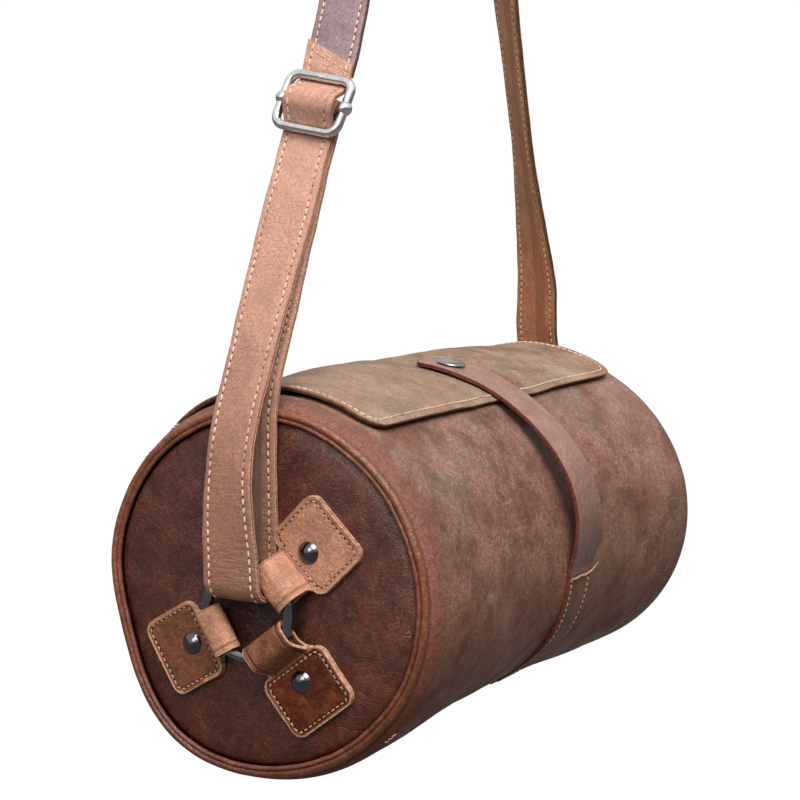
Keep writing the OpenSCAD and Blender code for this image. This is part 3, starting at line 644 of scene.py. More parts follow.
def done(piece, body, slot, look=None, replaces=(), angle=42.0):
    """Smooths a finished piece, gives it its leather and lets it ride on its body; a piece given a pair of
    bodies with two places only has its transform baked.
    """
    pick(piece)
    bpy.ops.object.shade_smooth_by_angle(angle=math.radians(angle))
    piece.data.materials.clear()
    for each in look if isinstance(look, (list, tuple)) else [look or slot]:
        piece.data.materials.append(finish(each))
    if replaces:
        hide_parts(*replaces)
    if isinstance(body, tuple):
        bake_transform(piece)
    else:
        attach(piece, body)


def row(place):
    """A place in millimetres from the barrel's middle, as metres in the row frame."""
    return MIDDLE + np.asarray(place, float) * MM


def from_middle(face):
    """The middle of a mesh's face, in millimetres from the barrel's middle."""
    return (np.array(face.center) - MIDDLE) / MM


def unit_rows(rows):
    return rows / np.linalg.norm(rows, axis=1)[:, None]


def rounded_corners(half_x, half_y, corner, step):
    """A rounded rectangle's four corners, once round: each point's arc middle and direction."""
    corners = []
    for sx, sy, start in ((1, 1, 0), (-1, 1, 90), (-1, -1, 180), (1, -1, 270)):
        x, y = sx * (half_x - corner), sy * (half_y - corner)
        turns = np.radians(np.arange(start, start + 91, step))
        corners.append([(x, y, math.cos(turn), math.sin(turn)) for turn in turns])
    return corners


def ripple(a, b, seed):
    """A gentle, uneven swell of about -1 to 1 over two measures in millimetres."""
    draw = np.random.RandomState(seed)
    total = np.zeros(np.broadcast(a, b).shape)
    for k in range(7):
        length = mix(26.0, 95.0, draw.rand())
        turn = draw.rand() * 2 * math.pi
        across = (a * math.cos(turn) + b * math.sin(turn)) * 2 * math.pi / length
        total = total + np.sin(across + draw.rand() * 2 * math.pi) * length / 95.0
    return total / 2.6


def hill(angle, middle, width):
    """A rounded swell round the barrel, 1 at its middle."""
    off = (np.asarray(angle, float) - middle + 180) % 360 - 180
    return np.exp(-((off / width) ** 2))


def sag(x, angle):
    """How far the barrel's leather stands off a true cylinder."""
    x, angle = np.asarray(x, float), np.asarray(angle, float)
    free = smooth((146.0 - np.abs(x)) / 40.0)
    near, far = smooth((-x - 50) / 98), smooth((x - 10) / 120)
    swell = 0.4 * np.cos(3 * np.radians(angle - 100.0)) + 0.5 * ripple(x, BARREL_R * np.radians(angle), 11)
    swell = swell * free
    # Full above and sunk below in the middle, full in front at the far end, pressed in where it hangs
    swell = swell + (1 - near - far) * (5.6 * hill(angle, 108, 34) - 5.0 * hill(angle, -60, 30))
    at_far = 1.6 * hill(angle, 100, 22) + 5.6 * hill(angle, -2, 50) - 3.0 * hill(angle, -88, 30)
    at_near = 1.5 * hill(angle, 122, 36) + 4.2 * hill(angle, 242, 26) - 3.4 * hill(angle, 199, 20)
    swell = swell + far * at_far + near * at_near
    swell = swell - near * 1.0 * hill(angle, -50, 22)
    # Round the snap the leather is held flat
    snap = np.exp(-((x / 24.0) ** 4 + ((angle - SNAP_ANGLE) / 20.0) ** 4))
    return swell * (1 - snap)


def around(x, angle, r):
    """A place at a radius round the barrel, carried by its swell."""
    x, angle, r = np.broadcast_arrays(np.asarray(x, float), np.asarray(angle, float), np.asarray(r, float))
    out = r + sag(x, angle)
    a = np.radians(angle)
    return np.stack([x, -out * np.cos(a), out * np.sin(a)], 1)


# The whole range of a stitch's lean, in radians
STITCH_LEAN = 0.22


class Sewing:
    """One stitch, and one dark disc of painted shade for a needle hole, modelled once and copied along every
    sewn line.
    """

    def __init__(self):
        bpy.ops.object.select_all(action="DESELECT")
        bpy.ops.mesh.primitive_uv_sphere_add(segments=8, ring_count=6, radius=1)
        stitch = bpy.context.object
        with editing(stitch):
            bpy.ops.transform.resize(value=(0.5, 0.42, 0.5))
        self.stitch = self._taken(stitch)
        bpy.ops.mesh.primitive_cone_add(vertices=7, radius1=1, radius2=0.45, depth=0.3)
        hole = bpy.context.object
        with editing(hole):
            bpy.ops.mesh.bevel(offset=0.08, segments=1, affect="EDGES")
        self.hole = self._taken(hole)

    @staticmethod
    def _taken(model):
        mesh = model.data
        points = np.array([v.co for v in mesh.vertices])
        faces = [list(f.vertices) for f in mesh.polygons]
        bpy.data.objects.remove(model, do_unlink=True)
        return points, faces

    def row(self, name, frames, length, body, slot, seed, holes=True, thread="thread", thick=1.0):
        """Stitches at frames, each N by 3: place, along, across and out of the leather."""
        place, along, across, out = (np.asarray(f, float) for f in frames)
        draw = np.random.RandomState(seed)
        thick = thick * sizes().thread / MM
        points, faces, kinds = [], [], []
        base = 0

        def stamp(model, at, axes, kind):
            nonlocal base
            shape, polygons = model
            points.append(at + shape @ np.array(axes))
            faces.extend([i + base for i in polygon] for polygon in polygons)
            kinds.extend([kind] * len(polygons))
            base += len(shape)

        for k in range(len(place)):
            lean = (draw.rand() - 0.5) * STITCH_LEAN
            run = along[k] * math.cos(lean) + across[k] * math.sin(lean)
            side = across[k] * math.cos(lean) - along[k] * math.sin(lean)
            grown = length * (0.94 + draw.rand() * 0.1)
            stamp(self.stitch, place[k], (side * thick, out[k] * thick, run * grown), 0)
            if holes and k + 1 < len(place) and np.linalg.norm(place[k + 1] - place[k]) < length * 2.2:
                # A dark disc between two stitches: painted shade in the needle's hole
                between = (place[k] + place[k + 1]) / 2 - out[k] * 0.02
                stamp(self.hole, between, (along[k] * 0.42, across[k] * 0.4, out[k] * 0.3), 1)
        mesh = bpy.data.meshes.new(name)
        mesh.from_pydata(row(np.concatenate(points)).tolist(), [], faces)
        mesh.update()
        piece = bpy.data.objects.new(name, mesh)
        bpy.context.collection.objects.link(piece)
        with editing(piece):
            bpy.ops.mesh.normals_make_consistent(inside=False)
        done(piece, body, slot, [thread, "needle_hole_shade"], angle=70.0)
        mesh.polygons.foreach_set("material_index", np.array(kinds))


def sewn_on(shape, us, vs):
    """Frames of stitches at pattern places of a surface function, found from its own slopes."""
    us, vs = np.asarray(us, float), np.asarray(vs, float)
    place = shape(us, vs)[0]
    along = unit_rows(np.gradient(place, axis=0))
    step = 0.05
    du = shape(us + step, vs)[0] - shape(us - step, vs)[0]
    dv = shape(us, vs + step)[0] - shape(us, vs - step)[0]
    out = unit_rows(np.cross(du, dv))
    return place, along, np.cross(out, along), out


def upward(frames):
    """Turns frames so that they point away from the barrel's axis."""
    place, along, across, out = frames
    turn = np.sign(np.sum(out * place * (0, 1, 1), axis=1))[:, None]
    return place, along, across * turn, out * turn


def evenly(points, pitch):
    """Points at an even pitch along a line through points (any number of columns)."""
    points = np.asarray(points, float)
    gaps = np.linalg.norm(np.diff(points, axis=0), axis=1)
    length = np.concatenate([[0], np.cumsum(gaps)])
    count = max(2, int(round(length[-1] / pitch)))
    at = (np.arange(count) + 0.5) * length[-1] / count
    return np.stack([np.interp(at, length, column) for column in points.T], 1)


@functools.cache
def sewing():
    return Sewing()


# Barrel

# Half the shell's length, and how each rim is rolled in: the roll's length and its depth
SHELL_HALF, ROLL, ROLL_DROP = 149.5, 13.0, 5.0
# Place along the barrel at which the ends' pieces take up its swell
RIM_X = 148.0
# The mouth's length and width, its corners' radius, and the angle of its middle round the barrel
MOUTH_L, MOUTH_W, MOUTH_CORNER, MOUTH_ANGLE = 230.0, 66.0, 12.0, 95.0
# Thickness of the barrel's leather, of its lining and of the mouth's binding
SHELL_T, LINING_T, BINDING_T = 2.3, 0.6, 0.4


def rolled(x):
    """The barrel's radius at a distance along it, turned in at each rim."""
    past = np.clip((np.abs(x) - (SHELL_HALF - ROLL)) / ROLL, 0, 1)
    return BARREL_R - ROLL_DROP * (1 - np.maximum(0, 1 - past ** 2.6) ** 0.5)


def outside_mouth(x, across):
    """Distance outside the mouth's outline, given along and across it."""
    dx = np.abs(x) - (MOUTH_L / 2 - MOUTH_CORNER)
    dy = np.abs(across) - (MOUTH_W / 2 - MOUTH_CORNER)
    far = np.hypot(np.maximum(dx, 0), np.maximum(dy, 0)) + np.minimum(np.maximum(dx, dy), 0)
    return far - MOUTH_CORNER


def past_mouth(x, angle, r):
    """Distance outside the mouth's outline for a place at a radius round the barrel."""
    turn = np.radians(angle - MOUTH_ANGLE)
    return np.where(np.cos(turn) > 0, outside_mouth(x, r * np.sin(turn)), 99.0)


def make_shell():
    """The barrel's leather, with its rolled rims and the mouth cut out of it."""
    past = np.sin(np.radians(np.linspace(8, 90, 10)))
    ends = SHELL_HALF - ROLL + ROLL * past
    xs = np.concatenate([-ends[::-1], steps(-(SHELL_HALF - ROLL), SHELL_HALF - ROLL, 104), ends])

    def shape(x, angle):
        pattern = np.stack([x, BARREL_R * np.radians(angle)], 1)
        return around(x, angle, rolled(x)), pattern, SHELL_HALF - np.abs(x)

    piece = lay(
        "barrel_leather_shell", xs, steps(-90, 270, 176), shape, join=0.05,
        drop=lambda x, angle: past_mouth(x, angle, BARREL_R) < 0.2,
    )
    sheet(piece, SHELL_T, offset=-1.0)
    done(piece, "bag", "barrel_leather", replaces=["barrel_shell"])


def make_lining():
    """The cotton lining, which turns in over the board at each end."""
    end = [(130.4, LINING_R), (139.2, 73.3), (140.8, 73.3), (148.2, 65.9), (148.2, 33.0), (148.2, 0.0)]
    way = [(-x, r) for x, r in reversed(end)] + [(x, LINING_R) for x in steps(-128, 128, 64)] + end
    way = np.array(way)

    def shape(k, angle):
        x, r = way[np.rint(k).astype(int)].T
        loose = 0.25 * np.sin(np.radians(angle * 9) + x / 17) * (np.abs(x) < 126)
        out = r - abs(loose) + sag(x, angle) * r / LINING_R
        a = np.radians(angle)
        return np.stack([x, -out * np.cos(a), out * np.sin(a)], 1), np.stack([k * 4.0, 82 * a], 1), 30.0

    def drop(k, angle):
        x, r = way[np.rint(k).astype(int)].T
        return (past_mouth(x, angle, 82.0) < 0.2) & (r > 80)

    piece = lay("barrel_cloth_lining", np.arange(len(way)), steps(-90, 270, 144), shape, drop, join=0.05)
    sheet(piece, LINING_T, bevel=0.0)
    done(piece, "bag", "lining_cloth", replaces=["barrel_lining"])


def mouth_outline(pitch=6.0):
    """Once round the mouth, close together: each point's corner and the way out from it."""
    corners = rounded_corners(MOUTH_L / 2, MOUTH_W / 2, MOUTH_CORNER, 10)
    turns = np.array([point for corner in corners for point in corner] + [corners[0][0]])
    dense = []
    for a, b in zip(turns[:-1], turns[1:]):
        count = max(1, int(np.hypot(*(b - a)[:2]) / pitch))
        dense += [a + (b - a) * i / count for i in range(count)]
    return np.array(dense + [turns[-1]])


def make_mouth():
    """The binding folded over the mouth's edge, and its stitches."""
    outline = mouth_outline()
    # How far past the mouth's outline, and at what radius, the folded binding runs
    fold = np.array([
        (5.0, 85.35), (3.4, 85.45), (1.6, 85.5), (0.2, 85.55), (-0.55, 85.2), (-0.8, 84.4), (-0.8, 83.2),
        (-0.8, 82.1), (-0.55, 81.4), (0.2, 81.1), (1.6, 81.15), (3.4, 81.2), (5.0, 81.25),
    ])
    wide = fold[0, 0]

    def shape(k, j):
        at, run = outline[np.rint(k).astype(int)], fold[np.rint(j).astype(int)]
        out = MOUTH_CORNER + run[:, 0]
        x, across = at[:, 0] + at[:, 2] * out, at[:, 1] + at[:, 3] * out
        r = run[:, 1]
        angle = MOUTH_ANGLE + np.degrees(np.arcsin(np.clip(across / r, -1, 1)))
        rim = wide - np.minimum(wide, np.abs(run[:, 0]))
        return around(x, angle, r), np.stack([k * 3.0, j * 1.4], 1), np.where(r > 84, rim, wide)

    piece = lay("mouth_edge_binding", np.arange(len(outline)), np.arange(len(fold)), shape, join=0.05)
    sheet(piece, BINDING_T, bevel=0.0)
    done(piece, "bag", "piping_leather", "closing_leather", replaces=["mouth_binding"])
    pitch = sizes().tab_pitch / MM * 1.3
    line = evenly(outline[:, :2] + outline[:, 2:] * (MOUTH_CORNER + 3.2), pitch)
    top = 85.75

    def face(x, across):
        return around(x, MOUTH_ANGLE + np.degrees(np.arcsin(across / top)), top), None, None

    frames = sewn_on(face, line[:, 0], line[:, 1])
    sewing().row("mouth_stitches", frames, pitch * 0.74, "bag", "piping_leather", 31)


# End panels and piping

# Where a panel's face starts to roll back, how far the roll reaches, and its leather's thickness
PANEL_ROLL_R, PANEL_ROLL, PANEL_T = 60.1, 16.0, 2.2


def panel_out(r):
    """How far the face of an end panel stands out at a distance from its middle, from PANEL_X."""
    r = np.asarray(r, float)
    dome = -1.0 * smooth((r - 44) / 24)
    past = np.clip((r - PANEL_ROLL_R) / PANEL_ROLL, 0, 1)
    return dome - 3.7 * (1 - np.sqrt(np.maximum(0, 1 - past ** 2)))


def on_panel(side, y, z, out):
    """A place on an end panel; side is -1 for the near one."""
    face = PANEL_X + panel_out(np.hypot(y, z)) + out
    return np.stack([side * face, y, z], 1)


def make_panel(side, end):
    """An end panel: its domed face, its rolled edge and the lip that is sewn into the rim."""
    roll = PANEL_ROLL_R + PANEL_ROLL * np.sin(np.radians(np.linspace(6, 90, 13)))
    rings = np.concatenate([steps(0, 60, 30), roll])
    lip = [-7.5, -10.5, -14.4]
    radii = np.concatenate([rings, [PANEL_ROLL_R + PANEL_ROLL] * len(lip)])
    outs = np.concatenate([panel_out(rings), lip])

    def shape(k, angle):
        i = np.rint(k).astype(int)
        r, a = radii[i], np.radians(angle)
        pulled = r + sag(side * RIM_X, angle) * smooth((r - 48) / 26)
        y, z = -pulled * np.cos(a), pulled * np.sin(a)
        dent = 0.16 * ripple(y + 300 * side, z, 5) * smooth((72 - r) / 8) * smooth((r - 52) / 10)
        return np.stack([side * (PANEL_X + outs[i] + dent), y, z], 1), np.stack([y, z], 1), 30.0

    piece = lay(f"{end}_panel_leather", np.arange(len(radii)), steps(0, 360, 120), shape, join=0.05)
    sheet(piece, PANEL_T, offset=-1.0, bevel=0.0)
    done(piece, "bag", "panel_leather", replaces=[f"{end}_end_panel"])


def ring_section(middle, half, step):
    """The outline of a cord's section: distance from the barrel's axis and place along the barrel."""
    turns = np.radians(np.arange(0, 360, step))
    return np.stack([middle[0] + half[0] * np.cos(turns), middle[1] + half[1] * np.sin(turns)], 1)


def rope(side, section):
    """The shape of a cord of that section round a rim."""

    def shape(k, angle):
        r, x = section[np.rint(k).astype(int) % len(section)].T
        a = np.radians(angle)
        pull = 0.1 * np.sin(a * 11) + 0.06 * np.sin(a * 29 + 1)
        r, x = r + pull + sag(side * RIM_X, angle), x - pull * 0.5
        return np.stack([side * x, -r * np.cos(a), r * np.sin(a)], 1), np.stack([k, 79 * a], 1), 30.0

    return shape


def make_piping(side, end):
    """The cord in each rim's seam, and the thinner fold of leather inside it."""
    cord = ring_section((79.8, 151.2), (1.85, 1.95), 18)
    piece = lay(
        f"{end}_rim_piping", np.arange(len(cord) + 1), steps(0, 360, 240), rope(side, cord), join=0.02,
    )
    done(piece, "bag", "piping_leather", replaces=[f"{end}_piping"])
    ridge = sizes().ridge / MM
    fold = ring_section((77.15, 152.0), (ridge, ridge), 30)
    piece = lay(
        f"{end}_inner_piping", np.arange(len(fold) + 1), steps(0, 360, 200), rope(side, fold), join=0.02,
    )
    done(piece, "bag", "piping_leather", "inner_piping_leather")


def make_ends():
    """Both end panels with their piping and boards, and the tacks of the near rim."""
    for side, end in ((-1, "near"), (1, "far")):
        make_panel(side, end)
        make_piping(side, end)
        dress(f"{end}_end_board", "board")
    # The short tacks that show on the near rim, by their angles
    angle = np.array([-45.0, -43.4, -41.8, 126.4, 128.0, 139.6, 141.2])
    x = np.full(len(angle), -143.6)
    place = around(x, angle, rolled(x) + 0.25)
    out = unit_rows(place * (0, 1, 1))
    along = np.tile((1.0, 0.0, 0.0), (len(angle), 1))
    sewing().row(
        "near_rim_tacks", (place, along, np.cross(out, along), out), 5.2, "bag", "barrel_leather", 33,
        holes=False, thick=0.8,
    )


def dress(node, look):
    """Gives a CAD node that stays its finish."""
    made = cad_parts[node]
    if not made.material_slots:
        made.data.materials.append(finish(look))
    for each in made.material_slots:
        each.material = finish(look)


# Ring tabs

# A tab's head: where it starts and ends from the ring's middle, half its width and its corners
HEAD_START, HEAD_END, HEAD_HALF, HEAD_CORNER = 28.6, 58.2, 18.0, 5.2
# Half the width of a tab's neck
NECK_HALF = 9.5
# Thickness of a tab's leather, how far its middle stands from the ring's, and its sewn face's height
TAB_T, TAB_REACH, TAB_FACE = 1.45, 3.85, 3.28
HEAD_FINISHES = {"front": "tab_leather", "lower": "oiled_tab_leather", "rear": "dark_tab_leather"}
NECK_FINISHES = {"front": "tab_leather", "lower": "dark_tab_leather", "rear": "tab_leather"}
# The side of a neck that is free to spread by the strap's loop: 0 where both are
FREE_SIDE = {"front": -1, "lower": 0, "rear": 1}


def head_inside(rho, w):
    """Distance inside the outline of a tab's head."""
    middle, half = (HEAD_START + HEAD_END) / 2, (HEAD_END - HEAD_START) / 2
    dx = np.abs(rho - middle) - (half - HEAD_CORNER)
    dy = np.abs(w) - (HEAD_HALF - HEAD_CORNER)
    return HEAD_CORNER - np.hypot(np.maximum(dx, 0), np.maximum(dy, 0)) - np.minimum(np.maximum(dx, dy), 0)


def tab_half(rho):
    """Half the width of a tab at a distance from the ring's middle."""
    near = np.minimum(HEAD_END - rho, rho - HEAD_START)
    d = np.clip(HEAD_CORNER - near, 0, HEAD_CORNER)
    head = HEAD_HALF - HEAD_CORNER + np.sqrt(np.maximum(0, HEAD_CORNER ** 2 - d ** 2))
    neck = NECK_HALF + 2.4 * smooth((rho - 26.8) / 1.8)
    return np.where(rho > HEAD_START, head, np.minimum(neck, HEAD_HALF - HEAD_CORNER))


def tab_line():
    """The folded leather's middle line, as distance from the ring's middle and out from the panel."""
    ends = HEAD_END - np.array([
        0, 0.1, 0.4, 0.9, 1.6, 2.6, 4, 6, 8.5, 11.2, 14, 16.7, 19.2, 21.2, 23.2, 25.2, 26.6, 27.7, 28.6,
        29.2, 29.5, 29.6,
    ])
    front = [(r, 2.45) for r in ends]
    neck = [(28.2, 2.6), (27.8, 3.1), (27.3, 4.0), (26.7, 5.3), (26.1, 6.8), (25.4, 8.3), (24.8, 9.6)]

    def arc(middle, turns):
        return [
            (middle + TAB_REACH * math.cos(t), RING_OFF + TAB_REACH * math.sin(t)) for t in np.radians(turns)
        ]

    over = arc(RING_R, [28, 45, 62, 79, 90])
    inner = arc(RING_R - 3.9, np.arange(90, 271, 15))
    back = [(RING_R, 5.15), (22.6, 4.9), (24.4, 3.9), (25.9, 2.6), (27.2, 1.5), (28.3, 0.95)]
    under = [(r, 0.85) for r in ends[::-1]]
    return np.array(front + neck + over + inner + back + under)


class Tab:
    """One ring tab: its frame on the panel and the shape of its folded leather."""

    def __init__(self, side, which, seed):
        self.side = side
        self.seed = seed
        self.free_side = FREE_SIDE[which]
        self.line = tab_line()
        steps_along = np.linalg.norm(np.diff(self.line, axis=0), axis=1)
        self.length = np.concatenate([[0], np.cumsum(steps_along)])
        a = math.radians(TAB_ANGLES[which])
        self.radial = np.array([-math.cos(a), math.sin(a)])
        self.tangent = np.array([math.sin(a), math.cos(a)])

    def across_panel(self, rho, w):
        """Where a place on the tab's pattern lies on the panel."""
        y = RING_Y + self.radial[0] * rho + self.tangent[0] * w
        z = RING_Z + self.radial[1] * rho + self.tangent[1] * w
        return y, z

    def on_pattern(self, y, z):
        """Distance from the ring's middle and across the tab, for a place on the panel."""
        from_ring = np.array([y - RING_Y, z - RING_Z])
        return self.radial @ from_ring, self.tangent @ from_ring

    def shape(self, k, share):
        line, seed = self.line, self.seed
        whole = np.clip(k, 0, len(line) - 1)
        i = np.minimum(np.floor(whole).astype(int), len(line) - 2)
        part = (whole - i)[:, None]
        rho, out = (line[i] * (1 - part) + line[i + 1] * part).T
        free = (share * self.free_side > 0) | (self.free_side == 0)
        w = share * (tab_half(rho) + free * smooth((29.4 - rho) / 1.6) * 2.0)
        on_head = smooth((rho - 26.5) / 2.5)
        w = w + share * 0.35 * ripple(rho * 1.7 + seed * 9, w * 1.7, seed) * on_head
        neck = 11.5 - np.abs(w)
        inside = np.where(rho < 26.5, neck, np.maximum(head_inside(rho, w), np.where(rho < 31, neck, -9)))
        front = i < len(line) / 2
        curl = np.where(front, 0.35, 0.0) * smooth((2.2 - inside) / 2.2) * on_head
        lift = np.where(front, 0.1 * ripple(rho * 2, w * 2, seed + 3), 0.0) * on_head
        y, z = self.across_panel(rho, w)
        face = PANEL_X + panel_out(np.hypot(y, z)) * on_head + out + curl + np.clip(lift, 0, 1)
        along = np.interp(whole, np.arange(len(line)), self.length) + seed * 71
        return np.stack([self.side * face, y, z], 1), np.stack([along, w], 1), inside

    def sewn_face(self, rho, w):
        y, z = self.across_panel(rho, w)
        return on_panel(self.side, y, z, np.full(len(rho), TAB_FACE)), None, None


def make_tab(side, end, which, seed):
    """One tab, folded round the ring, with the stitches of its head."""
    tab = Tab(side, which, seed)
    piece = lay(f"{end}_{which}_tab_leather", np.arange(len(tab.line)), steps(-1, 1, 24), tab.shape)
    sheet(piece, TAB_T, bevel=0.35)
    finishes = [NECK_FINISHES[which], HEAD_FINISHES[which]]
    done(piece, "bag", "tab_leather", finishes, replaces=[f"{end}_{which}_tab"])
    if finishes[1] != "tab_leather":
        for face in piece.data.polygons:
            rho, w = tab.on_pattern(*from_middle(face)[1:])
            face.material_index = int(head_inside(rho, w) > 0.9)
    middle, reach = (HEAD_START + HEAD_END) / 2, (HEAD_END - HEAD_START) / 2
    corners = rounded_corners(reach, HEAD_HALF, HEAD_CORNER, 15)
    sewn_r = HEAD_CORNER - TAB_INSET
    outline = [(middle + x + sewn_r * c, y + sewn_r * s) for corner in corners for x, y, c, s in corner]
    pitch = sizes().tab_pitch / MM
    line = evenly(np.array(outline + [outline[0]]), pitch)
    place, along, across, out = sewn_on(tab.sewn_face, line[:, 0], line[:, 1])
    if out[0][0] * side < 0:
        out, across = -out, -across
    sewing().row(
        f"{end}_{which}_tab_stitches", (place, along, across, out), pitch * 0.7, "bag", "tab_leather",
        seed + 40, thread="tan_thread", thick=0.75,
    )


def make_tabs():
    """All the tabs with their stitches, and the finishes of the rivets and rings."""
    for side, end in ((-1, "near"), (1, "far")):
        for n, which in enumerate(TAB_ANGLES):
            make_tab(side, end, which, seed=3 + n + (10 if side > 0 else 0))
        dress(f"{end}_rivets", "dark_steel")
        dress(f"{end}_ring", "ring_steel")


# Flap

# Half the flap's length, the angles of its free edge and its fold, and its corners' radius
FLAP_HALF, FLAP_EDGE, FLAP_FOLD, FLAP_CORNER = 137.0, 58.5, 129.0, 12.0
# The radius on which lengths round the flap are measured, and its two layers' thicknesses
FLAP_R, FLAP_T, BACKING_T = 86.7, 0.85, 0.8


def polar(x, angle, r):
    a = math.radians(angle)
    return (x, -r * math.cos(a), r * math.sin(a))


def flap_arc(angle):
    """Length round the flap from its free edge to an angle."""
    return FLAP_R * math.radians(angle - FLAP_EDGE)


# The end of the margin that is sewn down behind the fold
FLAP_END = flap_arc(139.8)


def flap_rows(end):
    """Lengths from the flap's free edge to an end, close together at its corners."""
    edge = np.array([0.0, 0.12, 0.4, 0.9, 1.6, 2.6, 4.0, 6.0, 8.5, 12.0])
    rows = np.concatenate([edge, steps(15, 98, 36), steps(100, 124, 16)])
    return np.concatenate([rows[rows < end - 0.5], [end]])


def flap_half(arc, trim=0.0):
    """Half the flap's length at a distance from its free edge."""
    past = np.clip(FLAP_CORNER - arc, 0, FLAP_CORNER)
    return FLAP_HALF - trim - FLAP_CORNER + np.sqrt(np.maximum(0, FLAP_CORNER ** 2 - past ** 2))


def flap_shape(radius, trim=0.0):
    """The shape of one of the flap's layers: its radius by angle, and what is cut off its edges."""
    reach = flap_arc(FLAP_FOLD)

    def shape(share, arc):
        half = flap_half(arc, trim)
        x = share * half
        angle = FLAP_EDGE + np.degrees((arc + trim) / FLAP_R)
        inside = np.minimum(half - np.abs(x), arc)
        past = np.abs(x) - FLAP_HALF + FLAP_CORNER
        rounded = FLAP_CORNER - np.hypot(past, FLAP_CORNER - arc)
        inside = np.where((past > 0) & (arc < FLAP_CORNER), rounded, inside)
        loose = smooth((arc + 8) / 30) * smooth((reach + 10 - arc) / 30)
        lift = 0.35 * (1 + ripple(x, arc, 21)) * loose * (1 - np.exp(-(x / 24) ** 2))
        curl = smooth((10 - inside) / 10) * smooth((np.abs(x) - 30) / 30) * smooth((reach - arc) / 20)
        return around(x, angle, radius(angle) + lift + 0.9 * curl), np.stack([x, arc], 1), inside

    return shape


def flap_hide(share, arc):
    """The flap's outer layer: its free part and the margin behind the fold are one hide."""
    layer = flap_shape(lambda angle: mix(87.2, 86.4, smooth((angle - 127.5) / 3.5)))
    places, pattern, inside = layer(share, arc)
    return places, pattern, np.minimum(inside, FLAP_END - arc)


def on_flap(x, arc):
    """A place on the flap's outer face, for its stitches."""
    places, pattern, inside = flap_hide(x / flap_half(arc), arc)
    return places + unit_rows(places * (0, 1, 1)) * 0.5, pattern, inside


def make_flap():
    """The flap, its suede backing and its stitches."""
    fold = ("bag", "flap", polar(0, 131.5, 86.5), polar(0, 123.5, 86.5))
    piece = lay("flap_hide", steps(-1, 1, 116), flap_rows(FLAP_END), flap_hide)
    sheet(piece, FLAP_T, bevel=0.25)
    done(piece, fold, "flap_leather", replaces=["flap", "flap_root_strip"])

    under = flap_shape(lambda angle: np.full(np.shape(angle), 86.3), trim=0.25)
    rows = flap_rows(flap_arc(FLAP_FOLD - 1.5))
    piece = lay("flap_suede_backing", steps(-1, 1, 100), rows, under)
    sheet(piece, BACKING_T, bevel=0.2)
    done(piece, "flap", "backing_leather", replaces=["flap_backing"])

    pitch = sizes().flap_pitch / MM
    half, sewn_r = FLAP_HALF - FLAP_INSET, FLAP_CORNER - FLAP_INSET
    corner = [
        (half - sewn_r + sewn_r * math.cos(t), FLAP_CORNER - sewn_r * math.sin(t))
        for t in np.radians(np.arange(0, 91, 12))
    ]
    edge = [(half, flap_arc(FLAP_FOLD - 4))] + corner
    line = evenly(np.array(edge + [(-x, arc) for x, arc in reversed(edge)]), pitch)
    frames = upward(sewn_on(on_flap, line[:, 0], line[:, 1]))
    sewing().row("flap_stitches", frames, pitch * 0.86, fold, "flap_leather", 51, holes=False)
    for n, inset in enumerate((3.5, 9.5)):
        line = evenly(np.array([(-half, FLAP_END - inset), (half, FLAP_END - inset)]), pitch)
        frames = upward(sewn_on(on_flap, line[:, 0], line[:, 1]))
        sewing().row(f"flap_root_stitches_{n + 1}", frames, pitch * 0.8, "bag", "flap_leather", 53 + n)


# Closing strap

# The lower end of the stitched foot, the root where the strap comes free, and its inner radius there
FOOT_END, CLOSING_ROOT = -58.0, -2.5
# Inner radius at the snap, half the strap's width, the rounded end's radius, and the thickness
SNAP_R, CLOSING_HALF, PADDLE_R, CLOSING_T = 88.6, 14.0, 16.6, 1.7


def foot_pressed(angle):
    """How much thinner the leather is pressed along the foot."""
    return 1.5 * smooth((-24 - angle) / 22)


def closing_in(angle):
    """Inner radius of the closing strap."""
    t = np.clip((angle - CLOSING_ROOT) / (62.5 - CLOSING_ROOT), 0, 1)
    bow = 7.5 * np.maximum(0, np.sin(np.pi * t ** 0.7)) ** 1.5
    return mix(BARREL_R + 0.1, SNAP_R, smooth(t)) + bow - foot_pressed(angle)


def past_snap(angle):
    """Length round the strap beyond the snap's middle."""
    return np.radians(angle - SNAP_ANGLE) * SNAP_R


def closing_half(angle):
    """Half the closing strap's width, narrower along the foot and wider towards the snap."""
    past = past_snap(angle)
    wide = mix(12.4, CLOSING_HALF, smooth((angle + 4) / 12))
    wide = wide + (PADDLE_R - CLOSING_HALF) * smooth((past + 31) / 31)
    return np.where(past <= 0, wide, np.sqrt(np.maximum(0, PADDLE_R ** 2 - past ** 2)))


def foot_slant(angle):
    """How far the strap's stitched foot leans along the barrel."""
    return 9.0 * np.clip((-8 - angle) / 50, 0, 1) ** 1.3


def closing_shape(share, angle):
    half, past = closing_half(angle), past_snap(angle)
    x = share * half
    inside = np.minimum(half - np.abs(x), np.radians(angle - FOOT_END) * BARREL_R)
    inside = np.where(past > 0, PADDLE_R - np.hypot(x, past), inside)
    cup = 0.5 * share ** 2 * smooth((angle - 8) / 20) * smooth((70 - angle) / 20)
    places = around(x + foot_slant(angle), angle, closing_in(angle) + 1.1 - cup)
    return places, np.stack([np.radians(angle) * 88, x], 1), inside


def on_foot(x, angle):
    """A place on the outer face of the foot, for its stitches."""
    return around(x + foot_slant(angle), angle, BARREL_R + 2.12 - foot_pressed(angle)), None, None


